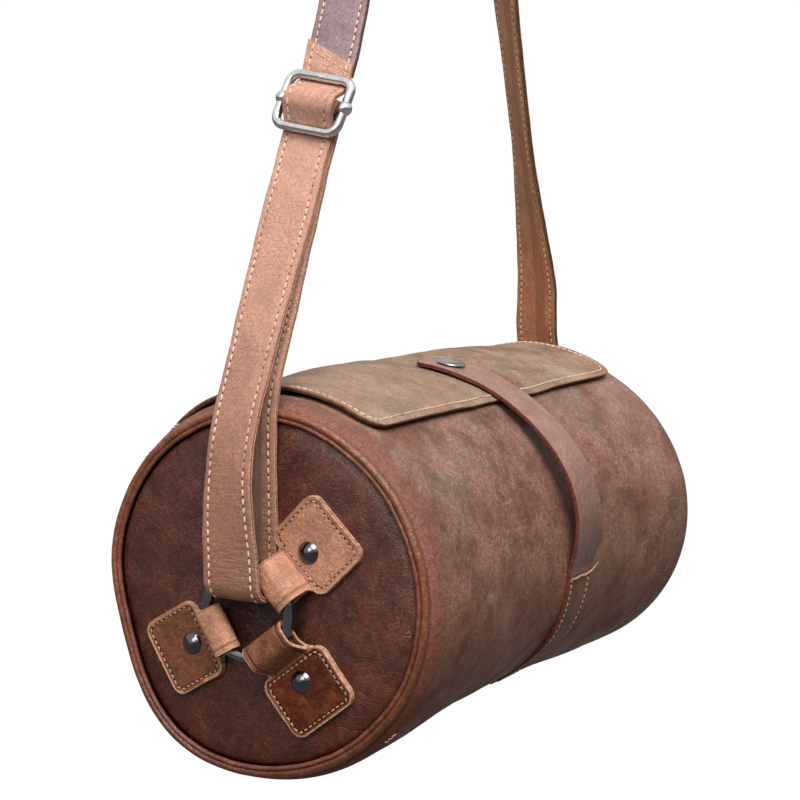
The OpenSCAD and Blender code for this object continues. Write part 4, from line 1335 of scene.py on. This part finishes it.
def make_closing_strap():
    """The closing strap and its foot in one piece, with the foot's stitches."""
    tip = SNAP_ANGLE + math.degrees((PADDLE_R - 0.02) / SNAP_R)
    angles = np.concatenate([
        steps(FOOT_END, CLOSING_ROOT, 30), steps(CLOSING_ROOT, SNAP_ANGLE, 62)[1:],
        SNAP_ANGLE + (tip - SNAP_ANGLE) * np.sin(np.radians(np.linspace(5, 90, 20))),
    ])
    piece = lay("closing_strap_leather", steps(-1, 1, 18), angles, closing_shape)
    sheet(piece, CLOSING_T)
    bend = ("bag", "closing_strap", polar(0, CLOSING_ROOT - 5, 87), polar(0, CLOSING_ROOT + 8, 87))
    done(
        piece, bend, "closing_leather", ["closing_leather", "closing_foot_leather"],
        replaces=["closing_strap", "closing_strap_foot"],
    )
    for face in piece.data.polygons:
        _, y, z = from_middle(face)
        face.material_index = int(FOOT_END - 2 < math.degrees(math.atan2(z, -y)) < CLOSING_ROOT - 2)
    half, top, foot = 10.3, CLOSING_ROOT - 3.0, FOOT_END + 2.3
    # The sewn square, as place along the barrel and length round it
    per_degree = BARREL_R * math.radians(1)
    square = np.array([(-half, foot), (-half, top), (half, top), (half, foot), (-half, foot)])
    line = evenly(square * (1, per_degree), 3.0) / (1, per_degree)
    frames = upward(sewn_on(on_foot, line[:, 0], line[:, 1]))
    sewing().row(
        "closing_foot_stitches", frames, 2.2, "bag", "closing_leather", 61, thread="tan_thread",
    )


def make_thread_end():
    """The seam's last thread, which lies across the foot and stands up at its corner."""
    way = np.array([
        (-11.2, -5.3, 87.3), (-7, -5.7, 87.5), (-1, -5.3, 87.45), (6, -5.8, 87.55), (10.4, -5.2, 87.6),
        (12.0, -4.6, 88.2), (12.9, -3.4, 89.2), (13.1, -2.0, 90.4),
    ])
    at = np.linspace(0, len(way) - 1, 36)
    way = np.stack([np.interp(at, np.arange(len(way)), column) for column in way.T], 1)
    middles = around(*way.T)
    ahead = unit_rows(np.gradient(middles, axis=0))
    out = unit_rows(middles * (0, 1, 1))
    out = unit_rows(out - ahead * np.sum(out * ahead, axis=1)[:, None])
    wide = np.cross(ahead, out)

    def shape(k, j):
        i, turn = np.rint(k).astype(int), np.radians(j * 60)[:, None]
        thick = 0.36 + 0.06 * np.sin(k * 2.1)[:, None]
        places = middles[i] + (out[i] * np.sin(turn) + wide[i] * np.cos(turn)) * thick
        return places, np.stack([k, j], 1), 30.0

    piece = lay("closing_foot_thread_end", np.arange(len(way)), np.arange(7), shape, join=0.01, close=True)
    done(piece, "bag", "closing_leather", "tan_thread")


# Shoulder strap

# The strap's turn through a ring: its middle and radius, and how far back its middle line lies there
TURN_X, TURN_Z, TURN_R, TURN_BACK = 163.85, 8.3, 7.85, 3.6
# How far the strap stands out as it passes behind the frame's bars, and over the sliding bar
HUMP, BRIDGE = 4.1, 5.2
# Half the adjuster frame's width, and half the distance between its two bars
FRAME_HALF, FRAME_REACH = 16.6, 12.6
# The arch over the top that touches both legs' lines: its middle and its radius
ARCH_X, ARCH_Z, ARCH_R = 16.666, 419.699, 30.0
# Where each leg's straight part ends above its ring
FRONT_RIM, FAR_RIM = (-157.41, 90.04), (156.96, 85.0)


def leg(along, out):
    """A place of the near leg, along it and out from it, from the adjuster's middle."""
    return (
        BAR[0] + along * math.sin(LEAN) - out * math.cos(LEAN),
        BAR[2] + along * math.cos(LEAN) + out * math.sin(LEAN),
    )


def leg_place(along, out=0.0):
    """The same place in all three directions, in the middle of the strap's width."""
    x, z = leg(along, out)
    return x, STRAP_BACK, z


def tilted(places):
    """The strap where it follows the adjuster's turn in the strap's plane."""
    up = np.array([math.sin(LEAN), 0.0, math.cos(LEAN)])
    along = (places - (BAR[0], 0, BAR[2])) @ up
    turn = math.tan(TURNED)
    raised = (places[:, 1] - STRAP_BACK) * turn * smooth((78.0 - np.abs(along)) / 58.0)
    aside = along * turn / (1 + (along / 24.0) ** 2) * smooth((150.0 - np.abs(along)) / 80.0)
    return places + up * raised[:, None] - np.array([0.0, 1.0, 0.0]) * aside[:, None]


def bezier(a, b, c, d, count):
    t = np.linspace(0, 1, count + 1)[:, None]
    a, b, c, d = (np.asarray(p, float) for p in (a, b, c, d))
    return (a * (1 - t) ** 3 + b * 3 * t * (1 - t) ** 2 + c * 3 * t ** 2 * (1 - t) + d * t ** 3).tolist()


def back_at(z):
    """How far back the strap's middle line lies at a height: less near the rings."""
    return mix(TURN_BACK, STRAP_BACK, smooth((z - TURN_Z) / (80 - TURN_Z)))


class Line:
    """A strap's middle line with its width's direction and thickness, found by length along it."""

    def __init__(self, rows, soft=1.0):
        rows = np.array(rows, float)
        gaps = np.linalg.norm(np.diff(rows[:, :3], axis=0), axis=1)
        rows = rows[np.concatenate([[True], gaps > 1e-6])]
        length = np.concatenate([[0], np.cumsum(gaps[gaps > 1e-6])])
        step = 0.4
        even = np.arange(0, length[-1] + step / 2, step)
        table = np.stack([np.interp(even, length, column) for column in rows.T], 1)
        reach = int(4 * soft / step)
        before = 2 * table[0] - table[reach:0:-1]
        after = 2 * table[-1] - table[-2:-reach - 2:-1]
        padded = np.concatenate([before, table, after])
        weights = np.exp(-0.5 * ((np.arange(-reach, reach + 1) * step) / soft) ** 2)
        weights /= weights.sum()
        self.table = np.stack([np.convolve(column, weights, "valid") for column in padded.T], 1)
        gaps = np.linalg.norm(np.diff(self.table[:, :3], axis=0), axis=1)
        self.length = np.concatenate([[0], np.cumsum(gaps)])

    @property
    def total(self):
        return self.length[-1]

    def at(self, s):
        """Place, along, across, out, thickness and half width."""
        found = np.stack([np.interp(s, self.length, column) for column in self.table.T], 1)
        ahead = np.stack([
            np.interp(np.minimum(s + 0.4, self.total), self.length, column)
            - np.interp(np.maximum(s - 0.4, 0), self.length, column) for column in self.table[:, :3].T
        ], 1)
        along = unit_rows(ahead)
        across = found[:, 3:6] - along * np.sum(found[:, 3:6] * along, axis=1)[:, None]
        across = unit_rows(across)
        return found[:, :3], along, across, np.cross(along, across), found[:, 6], found[:, 7]

    def near(self, place):
        """The length at which the line passes nearest a place."""
        return self.length[np.argmin(np.linalg.norm(self.table[:, :3] - np.asarray(place), axis=1))]


def strap_sizes():
    """The strap's thickness and half its width, in millimetres."""
    return sizes().strap_t / MM, sizes().strap_w / MM / 2


def flat_rows(points, thickness=None, back=None):
    """Rows of a strap's line where its width lies straight across the bag."""
    thick, half = strap_sizes()
    return [
        (x, back(z) if back else STRAP_BACK, z, 0.0, 1.0, 0.0, thickness or thick, half) for x, z in points
    ]


def twisted_row(x, y, z, twist):
    """A row of a strap's line where its width is twisted about the line."""
    return (x, y, z, math.sin(twist), math.cos(twist), 0.0, *strap_sizes())


def ring_turn():
    """The strap's turn through the near ring, from its rear run to its front run."""
    return [
        (-TURN_X + TURN_R * math.cos(t), TURN_Z - TURN_R * math.sin(t))
        for t in np.radians(np.arange(0, 181, 9))
    ]


def lower_line():
    """The lower strap: wrapped on the bar, down the rear, through the ring and up to its cut end."""
    rows = []
    for along, out, thickness in (
        (-2.9, 0.4, 1.4), (-1.6, 2.35, 1.4), (0.4, 2.8, 1.4), (2.2, 1.8, 1.4), (2.85, 0.0, 1.4),
        (2.2, -1.9, 1.4), (0.4, -3.1, 1.4), (-2.4, -4.6, 1.5), (-5.5, -6.1, 1.8), (-9.0, -7.0, 2.4),
        (-12.6, -7.2, 2.8),
    ):
        rows += flat_rows([leg(along, out)], thickness)
    # The rear run, with a soft knee above the rim
    rear_rim, knee, rear_top = (-155.6, 74.4), (-155.6, 86.4), leg(-21.0, -7.2)
    bend_end = mix(np.array(knee), np.array(rear_top), 0.12)
    turned = []
    for t in np.linspace(1, 0, 11):
        first = mix(np.array(rear_rim), np.array(knee), t)
        turned.append(mix(first, mix(np.array(knee), bend_end, t), t))
    rows += flat_rows([rear_top] + turned + ring_turn()[:-1], back=back_at)
    # The front run, twisted a little between the ring and the adjuster
    front_top = np.array(leg(-16.52, -HUMP))
    run = unit_rows((front_top - FRONT_RIM)[None])[0]
    rise = bezier(
        (-TURN_X - TURN_R, TURN_Z), (-TURN_X - TURN_R - 1.68, mix(TURN_Z, FRONT_RIM[1], 0.35)),
        np.array(FRONT_RIM) - run * 29.75, FRONT_RIM, 28,
    )
    for x, z in rise + [mix(np.array(FRONT_RIM), front_top, t) for t in steps(0, 1, 40)[1:]]:
        twist = math.radians(16.0) * float(smooth((z - 10) / 50) * (1 - smooth((z - 84) / 116)))
        rows.append(twisted_row(x - strap_sizes()[1] * math.sin(twist), back_at(z), z, twist))
    # Behind the frame's lower bar, over the sliding bar and behind the upper bar
    angle = math.asin((HUMP + BRIDGE) / FRAME_REACH)
    half_bridge = [(-FRAME_REACH + HUMP * math.sin(a), -HUMP * math.cos(a)) for a in np.linspace(0, angle, 8)]
    half_bridge += [(BRIDGE * math.sin(a), BRIDGE * math.cos(a)) for a in np.linspace(-angle, 0, 9)[1:]]
    bridge = half_bridge + [(-along, out) for along, out in reversed(half_bridge[:-1])]
    rows += flat_rows([leg(*point) for point in bridge])
    for along, out, thickness in (
        (14.4, -3.6, 2.0), (16.2, -2.35, 1.2), (18.0, -2.0, 1.15), (24, -1.95, 1.1), (36, -1.95, 1.0),
    ):
        rows += flat_rows([leg(along, out)], thickness)
    return Line([widened(point) for point in rows])


def widened(point):
    """The strap is up to 1.5 mm wider below the adjuster."""
    along = (point[0] - BAR[0]) * math.sin(LEAN) + (point[2] - BAR[2]) * math.cos(LEAN)
    return (*point[:7], point[7] + 0.75 * float(smooth((-22 - along) / 40)))


def upper_line():
    """The upper strap: from the adjuster over the arch, down the far leg and round the far ring."""
    arch = [
        (ARCH_X + ARCH_R * math.cos(a), ARCH_Z + ARCH_R * math.sin(a))
        for a in np.linspace(math.pi - LEAN, FAR_LEAN, 30)
    ]
    rows = flat_rows([leg(16.62, -HUMP)] + arch)
    top, rim = arch[-1][1], FAR_RIM[1]
    for z in np.linspace(top, 119, 60)[1:]:
        share = min(1, max(0, (z - 88) / (top - 88)))
        twist = math.radians(45) * float(smooth(share / 0.34) * (1 - smooth((share - 0.4) / 0.75)))
        rows.append(twisted_row(FAR_RIM[0] - (z - rim) * math.tan(FAR_LEAN), STRAP_BACK, z, twist))
    fall = bezier(
        FAR_RIM, np.array(FAR_RIM) + np.array((math.sin(FAR_LEAN), -math.cos(FAR_LEAN))) * 25.5,
        (TURN_X + TURN_R + 1.68, mix(TURN_Z, rim, 0.35)), (TURN_X + TURN_R, TURN_Z), 28,
    )
    far_turn = [(-x, z) for x, z in reversed(ring_turn())]
    rows += flat_rows([FAR_RIM] + fall[1:] + far_turn[1:] + [(155.6, 68.0)], back=back_at)
    return Line(rows)


# Across the strap from the middle to the edge: distance from the edge, and sink from the face
FACE = [
    (6.5, -0.1), (4.4, -0.02), (3.75, 0.1), (3.3, 0.24), (2.85, 0.1), (2.1, -0.02), (0.9, 0.06), (0.28, 0.26),
]
# Down the strap's cut edge: distance from it, and height as a share of half the thickness
EDGE = [(0.0, 0.52), (0.02, 0.22), (0.34, 0.0), (0.02, -0.22), (0.0, -0.52)]
# Stands for the strap's middle where a distance from the edge is asked for
MID = 99.0


def section_of():
    """The strap's cross-section once round: side, distance from the edge, face and sink."""
    top = [(1, d, 1, sink) for d, sink in FACE]
    under = [(1, d, -1, sink) for d, sink in reversed(FACE)]
    one = [(1, MID, 1, -0.14)] + top + [(1, d, face, 0.0) for d, face in EDGE] + under + [(1, MID, -1, -0.14)]
    other = [(-1, *point[1:]) for point in reversed(one[1:-1])]
    return np.array(one + other + [one[0]])


def strap_shape(line, slant=None):
    """The strap's leather along a line; slant gives the start and end of a cut end, and its lean."""
    section = section_of()
    rims = []
    for side, d, face, sink in section:
        on_edge = abs(face) < 0.9
        rims.append(-0.5 - (0.5 if d > 0.3 else 0.0) if on_edge else min(d, 20.0))
    rims = np.array(rims)

    def shape(s, k):
        i = np.rint(k).astype(int) % len(section)
        side, d, face, sink = section[i].T
        place, _, across, out, thick, half = line.at(s)
        half = half + 0.13 * np.sin(s / 7.3 + side) + 0.1 * np.sin(s / 3.1 + 2 * side)
        e = thick / 2
        flat = np.abs(face) > 0.9
        sunk = sink * np.minimum(1, thick / 2.4)
        w = np.where(d == MID, 0.0, side * (half - d))
        n = np.where(flat, np.sign(face) * (e - sunk), face * e)
        wave = 0.1 * np.sin(s / 9.0) * np.sin(w / 5 + 1)
        if slant is not None:
            start, end, lean = slant
            s_new = s + (w / half) * lean * smooth((s - start) / (end - start))
            place, _, across, out, thick, _ = line.at(s_new)
        places = tilted(place + across * w[:, None] + out * (n + wave)[:, None])
        a = np.where(flat & (face > 0), w, side * (half + e - n))
        a = np.where(flat & (face < 0), side * (half + 2 * e + half - np.abs(w)), a)
        return places, np.stack([s, a], 1), rims[i]

    return shape, len(section)


def along_line(line, low, high, gap=2.0):
    """Stations along a line, closer together where it bends."""
    fine = np.linspace(low, high, max(8, int((high - low) / 0.5)))
    along = line.at(fine)[1]
    turned = np.linalg.norm(np.diff(along, axis=0), axis=1)
    weight = np.diff(fine) / gap + turned / 0.09
    total = np.concatenate([[0], np.cumsum(weight)])
    return np.interp(np.linspace(0, total[-1], int(math.ceil(total[-1])) + 1), total, fine)


def strap_frames(line, s, side, face):
    """Frames of stitches along one edge of one face of a strap."""
    place, along, across, out, thick, half = line.at(s)
    inset = sizes().stitch_in / MM
    at = place + across * (side * (half - inset))[:, None] + out * (face * (thick / 2 - 0.02))[:, None]
    return tilted(at), along, across * face, out * face


# Each face of the strap with each of its edges
EDGES = [(face, side) for face in (1, -1) for side in (1, -1)]


def make_lower_strap():
    """The strap below the adjuster and its end over the bars, with their stitches."""
    line = lower_line()
    pitch = sizes().strap_pitch / MM
    cut = line.near(leg_place(26.0, -1.95))
    lean = 4.6
    bend = ("strap", "adjuster", leg_place(-150), leg_place(-26))
    shape, count = strap_shape(line, slant=(line.near(leg_place(FRAME_REACH, -HUMP)) + 2, cut, lean))
    piece = lay(
        "lower_strap_leather", along_line(line, 0, cut), np.arange(count), shape, join=0.02, close=True,
    )
    done(
        piece, bend, "strap_leather",
        replaces=["strap_loop", "front_run", "rear_run", "strap_bridge", "strap_end_wrap"], angle=60.0,
    )
    start = line.near(leg_place(-12.6, -7.2)) + 2
    for n, (face, side) in enumerate(EDGES):
        s = np.arange(start + pitch / 2, cut + side * 3.4 - 1, pitch)
        frames = strap_frames(line, s, side, face)
        sewing().row(f"lower_strap_stitches_{n + 1}", frames, pitch * 0.8, bend, "strap_leather", 71 + n)
    # The row across the slanted end
    across = evenly(np.array([(-8.6, 0), (8.6, 0)]), pitch * 0.85)[:, 0]
    place, _, wide, out, thick, _ = line.at(cut - 4.2 + across / 13 * lean)
    at = tilted(place + wide * across[:, None] + out * (thick / 2)[:, None])
    run = unit_rows(np.gradient(at, axis=0))
    sewing().row(
        "strap_end_stitches", (at, run, np.cross(out, run), out), pitch * 0.7, bend, "strap_leather", 79,
    )


def make_upper_strap():
    """The strap above the adjuster, over the arch and down to the far ring, with its stitches."""
    line = upper_line()
    pitch = sizes().strap_pitch / MM
    split = line.near(leg_place(222, -HUMP))
    stretch = ("adjuster", "strap", leg_place(19), leg_place(212))
    shape, count = strap_shape(line)
    finishes = ["upper_strap_leather", "far_strap_leather"]
    around_edge = (sizes().strap_w + sizes().strap_t) / MM / 2
    for name, low, high, body, nodes in (
        ("near", 0, split, stretch, ["upper_run"]),
        ("far", split, line.total, "strap", ["strap_upper", "far_strap_loop"]),
    ):
        stations = along_line(line, low, high)
        piece = lay(f"{name}_strap_leather", stations, np.arange(count), shape, join=0.02, close=True)
        done(piece, body, "upper_strap_leather", finishes, replaces=nodes, angle=60.0)
        # The second finish is on the inner face, which the flat pattern lays beyond the edge
        pattern = np.empty(2 * len(piece.data.loops))
        piece.data.uv_layers[0].data.foreach_get("uv", pattern)
        past = np.abs(pattern[1::2]) / MM - around_edge
        for face in piece.data.polygons:
            face.material_index = int(np.mean(past[list(face.loop_indices)]) > 0.2)
    legs = (("near", 1.0, split, stretch), ("far", split, line.total - 3, "strap"))
    rows = [(*each, *edge) for each in legs for edge in EDGES]
    for n, (name, low, high, body, face, side) in enumerate(rows):
        s = np.arange(low + pitch / 2, high, pitch)
        if name == "near" and face == 1:
            # The lower strap's slanted end hides the first stitches
            s = s[s > 9.0 + side * 4.6]
        sewing().row(
            f"{name}_strap_stitches_{n + 1}", strap_frames(line, s, side, face), pitch * 0.8, body,
            "upper_strap_leather", 75 + n,
        )


# Adjuster

# Radius of the frame's corners and of its wire, and of the sliding bar with the ball at each end
FRAME_CORNER, WIRE_R, SLIDE_R, BALL_R = 5.0, 2.15, 1.85, 3.5


def adjuster_axes():
    """The adjuster's middle, and its directions across, along and out of the strap."""
    up = np.array([math.sin(LEAN), 0.0, math.cos(LEAN)])
    aside = np.array([0.0, 1.0, 0.0])
    wide = aside * math.cos(TURNED) + up * math.sin(TURNED)
    high = up * math.cos(TURNED) - aside * math.sin(TURNED)
    return np.array([BAR[0], STRAP_BACK, BAR[2]]), wide, high, np.cross(wide, high)


def make_adjuster_frame():
    """The frame's bent wire, with the weld in its upper bar."""
    middle, wide, high, out = adjuster_axes()
    corners = rounded_corners(FRAME_HALF, FRAME_REACH, FRAME_CORNER, 7.5)
    corners = [
        [(x + FRAME_CORNER * c, y + FRAME_CORNER * s, c, s, WIRE_R) for x, y, c, s in corner]
        for corner in corners
    ]
    half_weld = [(1.5, 2.15), (1.2, 2.26), (0.6, 2.3), (0.12, 2.08)]
    weld = half_weld + [(-x, r) for x, r in reversed(half_weld)]
    path = corners[0] + [(x, FRAME_REACH, 0.0, 1.0, r) for x, r in weld] + sum(corners[1:], [])
    path = np.array(path + [path[0]])
    sides = 20

    def shape(k, j):
        x, y, x_out, y_out, r = path[np.rint(k).astype(int)].T
        turn = np.radians(j * 360 / sides)
        x, y = x + x_out * r * np.cos(turn), y + y_out * r * np.cos(turn)
        places = middle + wide * x[:, None] + high * y[:, None] + out * (r * np.sin(turn))[:, None]
        return places, np.stack([k, j], 1), 30.0

    piece = lay("adjuster_wire_frame", np.arange(len(path)), np.arange(sides + 1), shape, join=0.01)
    done(piece, "adjuster", "nickel", replaces=["adjuster_frame"])


def make_adjuster_bar():
    """The sliding bar, with a ball at each end round the frame's side."""
    middle, wide, high, out = adjuster_axes()
    ball = [
        (FRAME_HALF - BALL_R * math.cos(t), BALL_R * math.sin(t))
        for t in np.radians(np.linspace(34, 180, 13))
    ]
    half = [(0, SLIDE_R), (6, SLIDE_R), (11, 1.87), (13.2, 1.9)] + ball
    profile = np.array([(-x, r) for x, r in reversed(half[1:])] + half)
    profile[0, 1] = profile[-1, 1] = 0.0
    sides = 24

    def shape(k, j):
        at = profile[np.rint(k).astype(int)]
        turn = np.radians(j * 360 / sides)[:, None]
        places = middle + wide * at[:, :1] + (high * np.cos(turn) + out * np.sin(turn)) * at[:, 1:]
        return places, np.stack([k, j], 1), 30.0

    piece = lay("adjuster_sliding_bar", np.arange(len(profile)), np.arange(sides + 1), shape, join=0.005)
    done(piece, "adjuster", "nickel", replaces=["adjuster_bar"])


# Stage

# The camera's place in millimetres and its turn in degrees
CAMERA_AT, CAMERA_TURN = (-885.31, -449.25, 190.7), (83.0914, -1.3554, -62.225)
FLOOR_Z = -390.0
# Light of the world on matt surfaces, and strength of the lamp above and of the one at the window
FILL, KEY, WINDOW = 0.08, 3.6, 1.1


def make_camera():
    """The camera, where the picture was taken from."""
    lens = bpy.data.cameras.new("camera")
    lens.lens, lens.sensor_width, lens.sensor_fit = 90.0, 36.0, "HORIZONTAL"
    lens.clip_start, lens.clip_end = 0.01, 100.0
    camera = bpy.data.objects.new("camera", lens)
    bpy.context.scene.collection.objects.link(camera)
    turn = Euler([math.radians(angle) for angle in CAMERA_TURN])
    camera.matrix_world = Matrix.LocRotScale(Vector(row(CAMERA_AT)), turn, None)
    bpy.context.scene.camera = camera


def make_floor():
    """A pale floor that keeps the bag's shadow and shows white to the camera."""
    bpy.ops.object.select_all(action="DESELECT")
    bpy.ops.mesh.primitive_plane_add(size=60.0, location=tuple(row((0, 0, FLOOR_Z))))
    floor = bpy.context.object
    floor.name = "floor"
    look = material("floor")
    seen = look.node("ShaderNodeLightPath", out="Is Camera Ray")
    speck = look.noise(look.place("Object"), 3.0, 2.0)
    pale = look.blend(colours().floor, tuple(c * 0.97 for c in colours().floor), speck)
    matt = look.node("ShaderNodeBsdfDiffuse", values={"Color": pale})
    glow = look.node("ShaderNodeEmission", values={"Color": (1, 1, 1, 1), "Strength": seen * 0.8})
    both = look.node("ShaderNodeAddShader", values={0: matt, 1: glow})
    look.node("ShaderNodeOutputMaterial", values={"Surface": both})
    floor.data.materials.append(look.owner)


def make_world():
    """A white backdrop, a soft fill on matt surfaces, and a bright pane for glossy ones."""
    world = bpy.data.worlds.new("studio")
    bpy.context.scene.world = world
    look = Look(world)
    seen, glossy, through = (
        look.node("ShaderNodeLightPath", out=name)
        for name in ("Is Camera Ray", "Is Glossy Ray", "Is Transmission Ray")
    )
    height = look.node("ShaderNodeSeparateXYZ", values={0: look.place("Generated")}, out=2)
    facing = look.node(
        "ShaderNodeVectorMath", {"operation": "DOT_PRODUCT"},
        {0: look.place("Generated"), 1: (-0.8, 0.3, 0.5)}, "Value",
    )
    pane = look.fade(facing, 0.78, 0.9, 0.0, 0.9)
    shown = seen + glossy * (look.fade(height, 0.0, 0.5, 0.05, 1.0) + pane) + through
    shown = look.node("ShaderNodeMath", {"operation": "MINIMUM"}, {0: shown, 1: 1.0})
    strength = shown * (1 - FILL) + FILL
    light = look.node("ShaderNodeBackground", values={"Color": (1, 1, 1, 1), "Strength": strength})
    look.node("ShaderNodeOutputWorld", values={"Surface": light})


def make_lamp(name, strength, spread, toward):
    """A sun lamp; toward is the direction from the bag to it."""
    sun = bpy.data.lights.new(name, "SUN")
    sun.energy, sun.angle = strength, math.radians(spread)
    lamp = bpy.data.objects.new(name, sun)
    bpy.context.scene.collection.objects.link(lamp)
    lamp.matrix_world = Vector(toward).to_track_quat("Z", "Y").to_matrix().to_4x4()


# Add-on


class BAG_OT_stage(bpy.types.Operator):
    """Sets up the camera, the floor, the world and the lamps"""

    bl_idname = "bag.stage"
    bl_label = "Stage"

    def execute(self, context):
        make_camera()
        make_floor()
        make_world()
        make_lamp("softbox", KEY, 44, (-0.5, -0.5, 1.0))
        make_lamp("window", WINDOW, 26, (-0.86, -0.06, 0.49))
        context.scene.view_settings.view_transform = "Standard"
        return {"FINISHED"}


class BAG_OT_barrel(bpy.types.Operator):
    """Makes the barrel's leather, its lining and the binding of its mouth"""

    bl_idname = "bag.barrel"
    bl_label = "Barrel"

    def execute(self, context):
        make_shell()
        make_lining()
        make_mouth()
        return {"FINISHED"}


class BAG_OT_ends(bpy.types.Operator):
    """Makes the end panels and their piping, and finishes the boards behind them"""

    bl_idname = "bag.ends"
    bl_label = "Ends"

    def execute(self, context):
        make_ends()
        return {"FINISHED"}


class BAG_OT_tabs(bpy.types.Operator):
    """Makes the ring tabs with their stitches, and finishes the rivets and rings"""

    bl_idname = "bag.tabs"
    bl_label = "Tabs"

    def execute(self, context):
        make_tabs()
        return {"FINISHED"}


class BAG_OT_flap(bpy.types.Operator):
    """Makes the flap with its backing and its stitches"""

    bl_idname = "bag.flap"
    bl_label = "Flap"

    def execute(self, context):
        make_flap()
        return {"FINISHED"}


class BAG_OT_closing(bpy.types.Operator):
    """Makes the closing strap with its stitches, and finishes the snap"""

    bl_idname = "bag.closing"
    bl_label = "Closing strap"

    def execute(self, context):
        make_closing_strap()
        make_thread_end()
        for node in ("snap_cap", "snap_socket", "snap_stud"):
            dress(node, "cap_metal")
        return {"FINISHED"}


class BAG_OT_strap(bpy.types.Operator):
    """Makes both parts of the shoulder strap and their stitches"""

    bl_idname = "bag.strap"
    bl_label = "Shoulder strap"

    def execute(self, context):
        make_lower_strap()
        make_upper_strap()
        return {"FINISHED"}


class BAG_OT_adjuster(bpy.types.Operator):
    """Makes the adjuster's welded frame and its sliding bar"""

    bl_idname = "bag.adjuster"
    bl_label = "Adjuster"

    def execute(self, context):
        make_adjuster_frame()
        make_adjuster_bar()
        return {"FINISHED"}


OPERATORS = [
    BAG_OT_stage, BAG_OT_barrel, BAG_OT_ends, BAG_OT_tabs, BAG_OT_flap, BAG_OT_closing, BAG_OT_strap,
    BAG_OT_adjuster,
]


class BAG_PT_panel(bpy.types.Panel):
    """Sizes, colours and pieces of the barrel bag"""

    bl_idname = "BAG_PT_panel"
    bl_label = "Barrel bag"
    bl_space_type = "VIEW_3D"
    bl_region_type = "UI"
    bl_category = "Barrel bag"

    def draw(self, context):
        for group in (context.scene.bag_sizes, context.scene.bag_colours):
            box = self.layout.box()
            for name in group.__annotations__:
                box.prop(group, name)
        for made in OPERATORS:
            self.layout.operator(made.bl_idname)


CLASSES = [BagSizes, BagColours, *OPERATORS, BAG_PT_panel]


def register():
    for each in CLASSES:
        bpy.utils.register_class(each)
    bpy.types.Scene.bag_sizes = PointerProperty(type=BagSizes)
    bpy.types.Scene.bag_colours = PointerProperty(type=BagColours)


def unregister():
    del bpy.types.Scene.bag_colours
    del bpy.types.Scene.bag_sizes
    for each in reversed(CLASSES):
        bpy.utils.unregister_class(each)


def main():
    register()
    bpy.ops.bag.stage()
    bpy.ops.bag.barrel()
    bpy.ops.bag.ends()
    bpy.ops.bag.tabs()
    bpy.ops.bag.flap()
    bpy.ops.bag.closing()
    bpy.ops.bag.strap()
    bpy.ops.bag.adjuster()


if __name__ == "__main__":
    main()
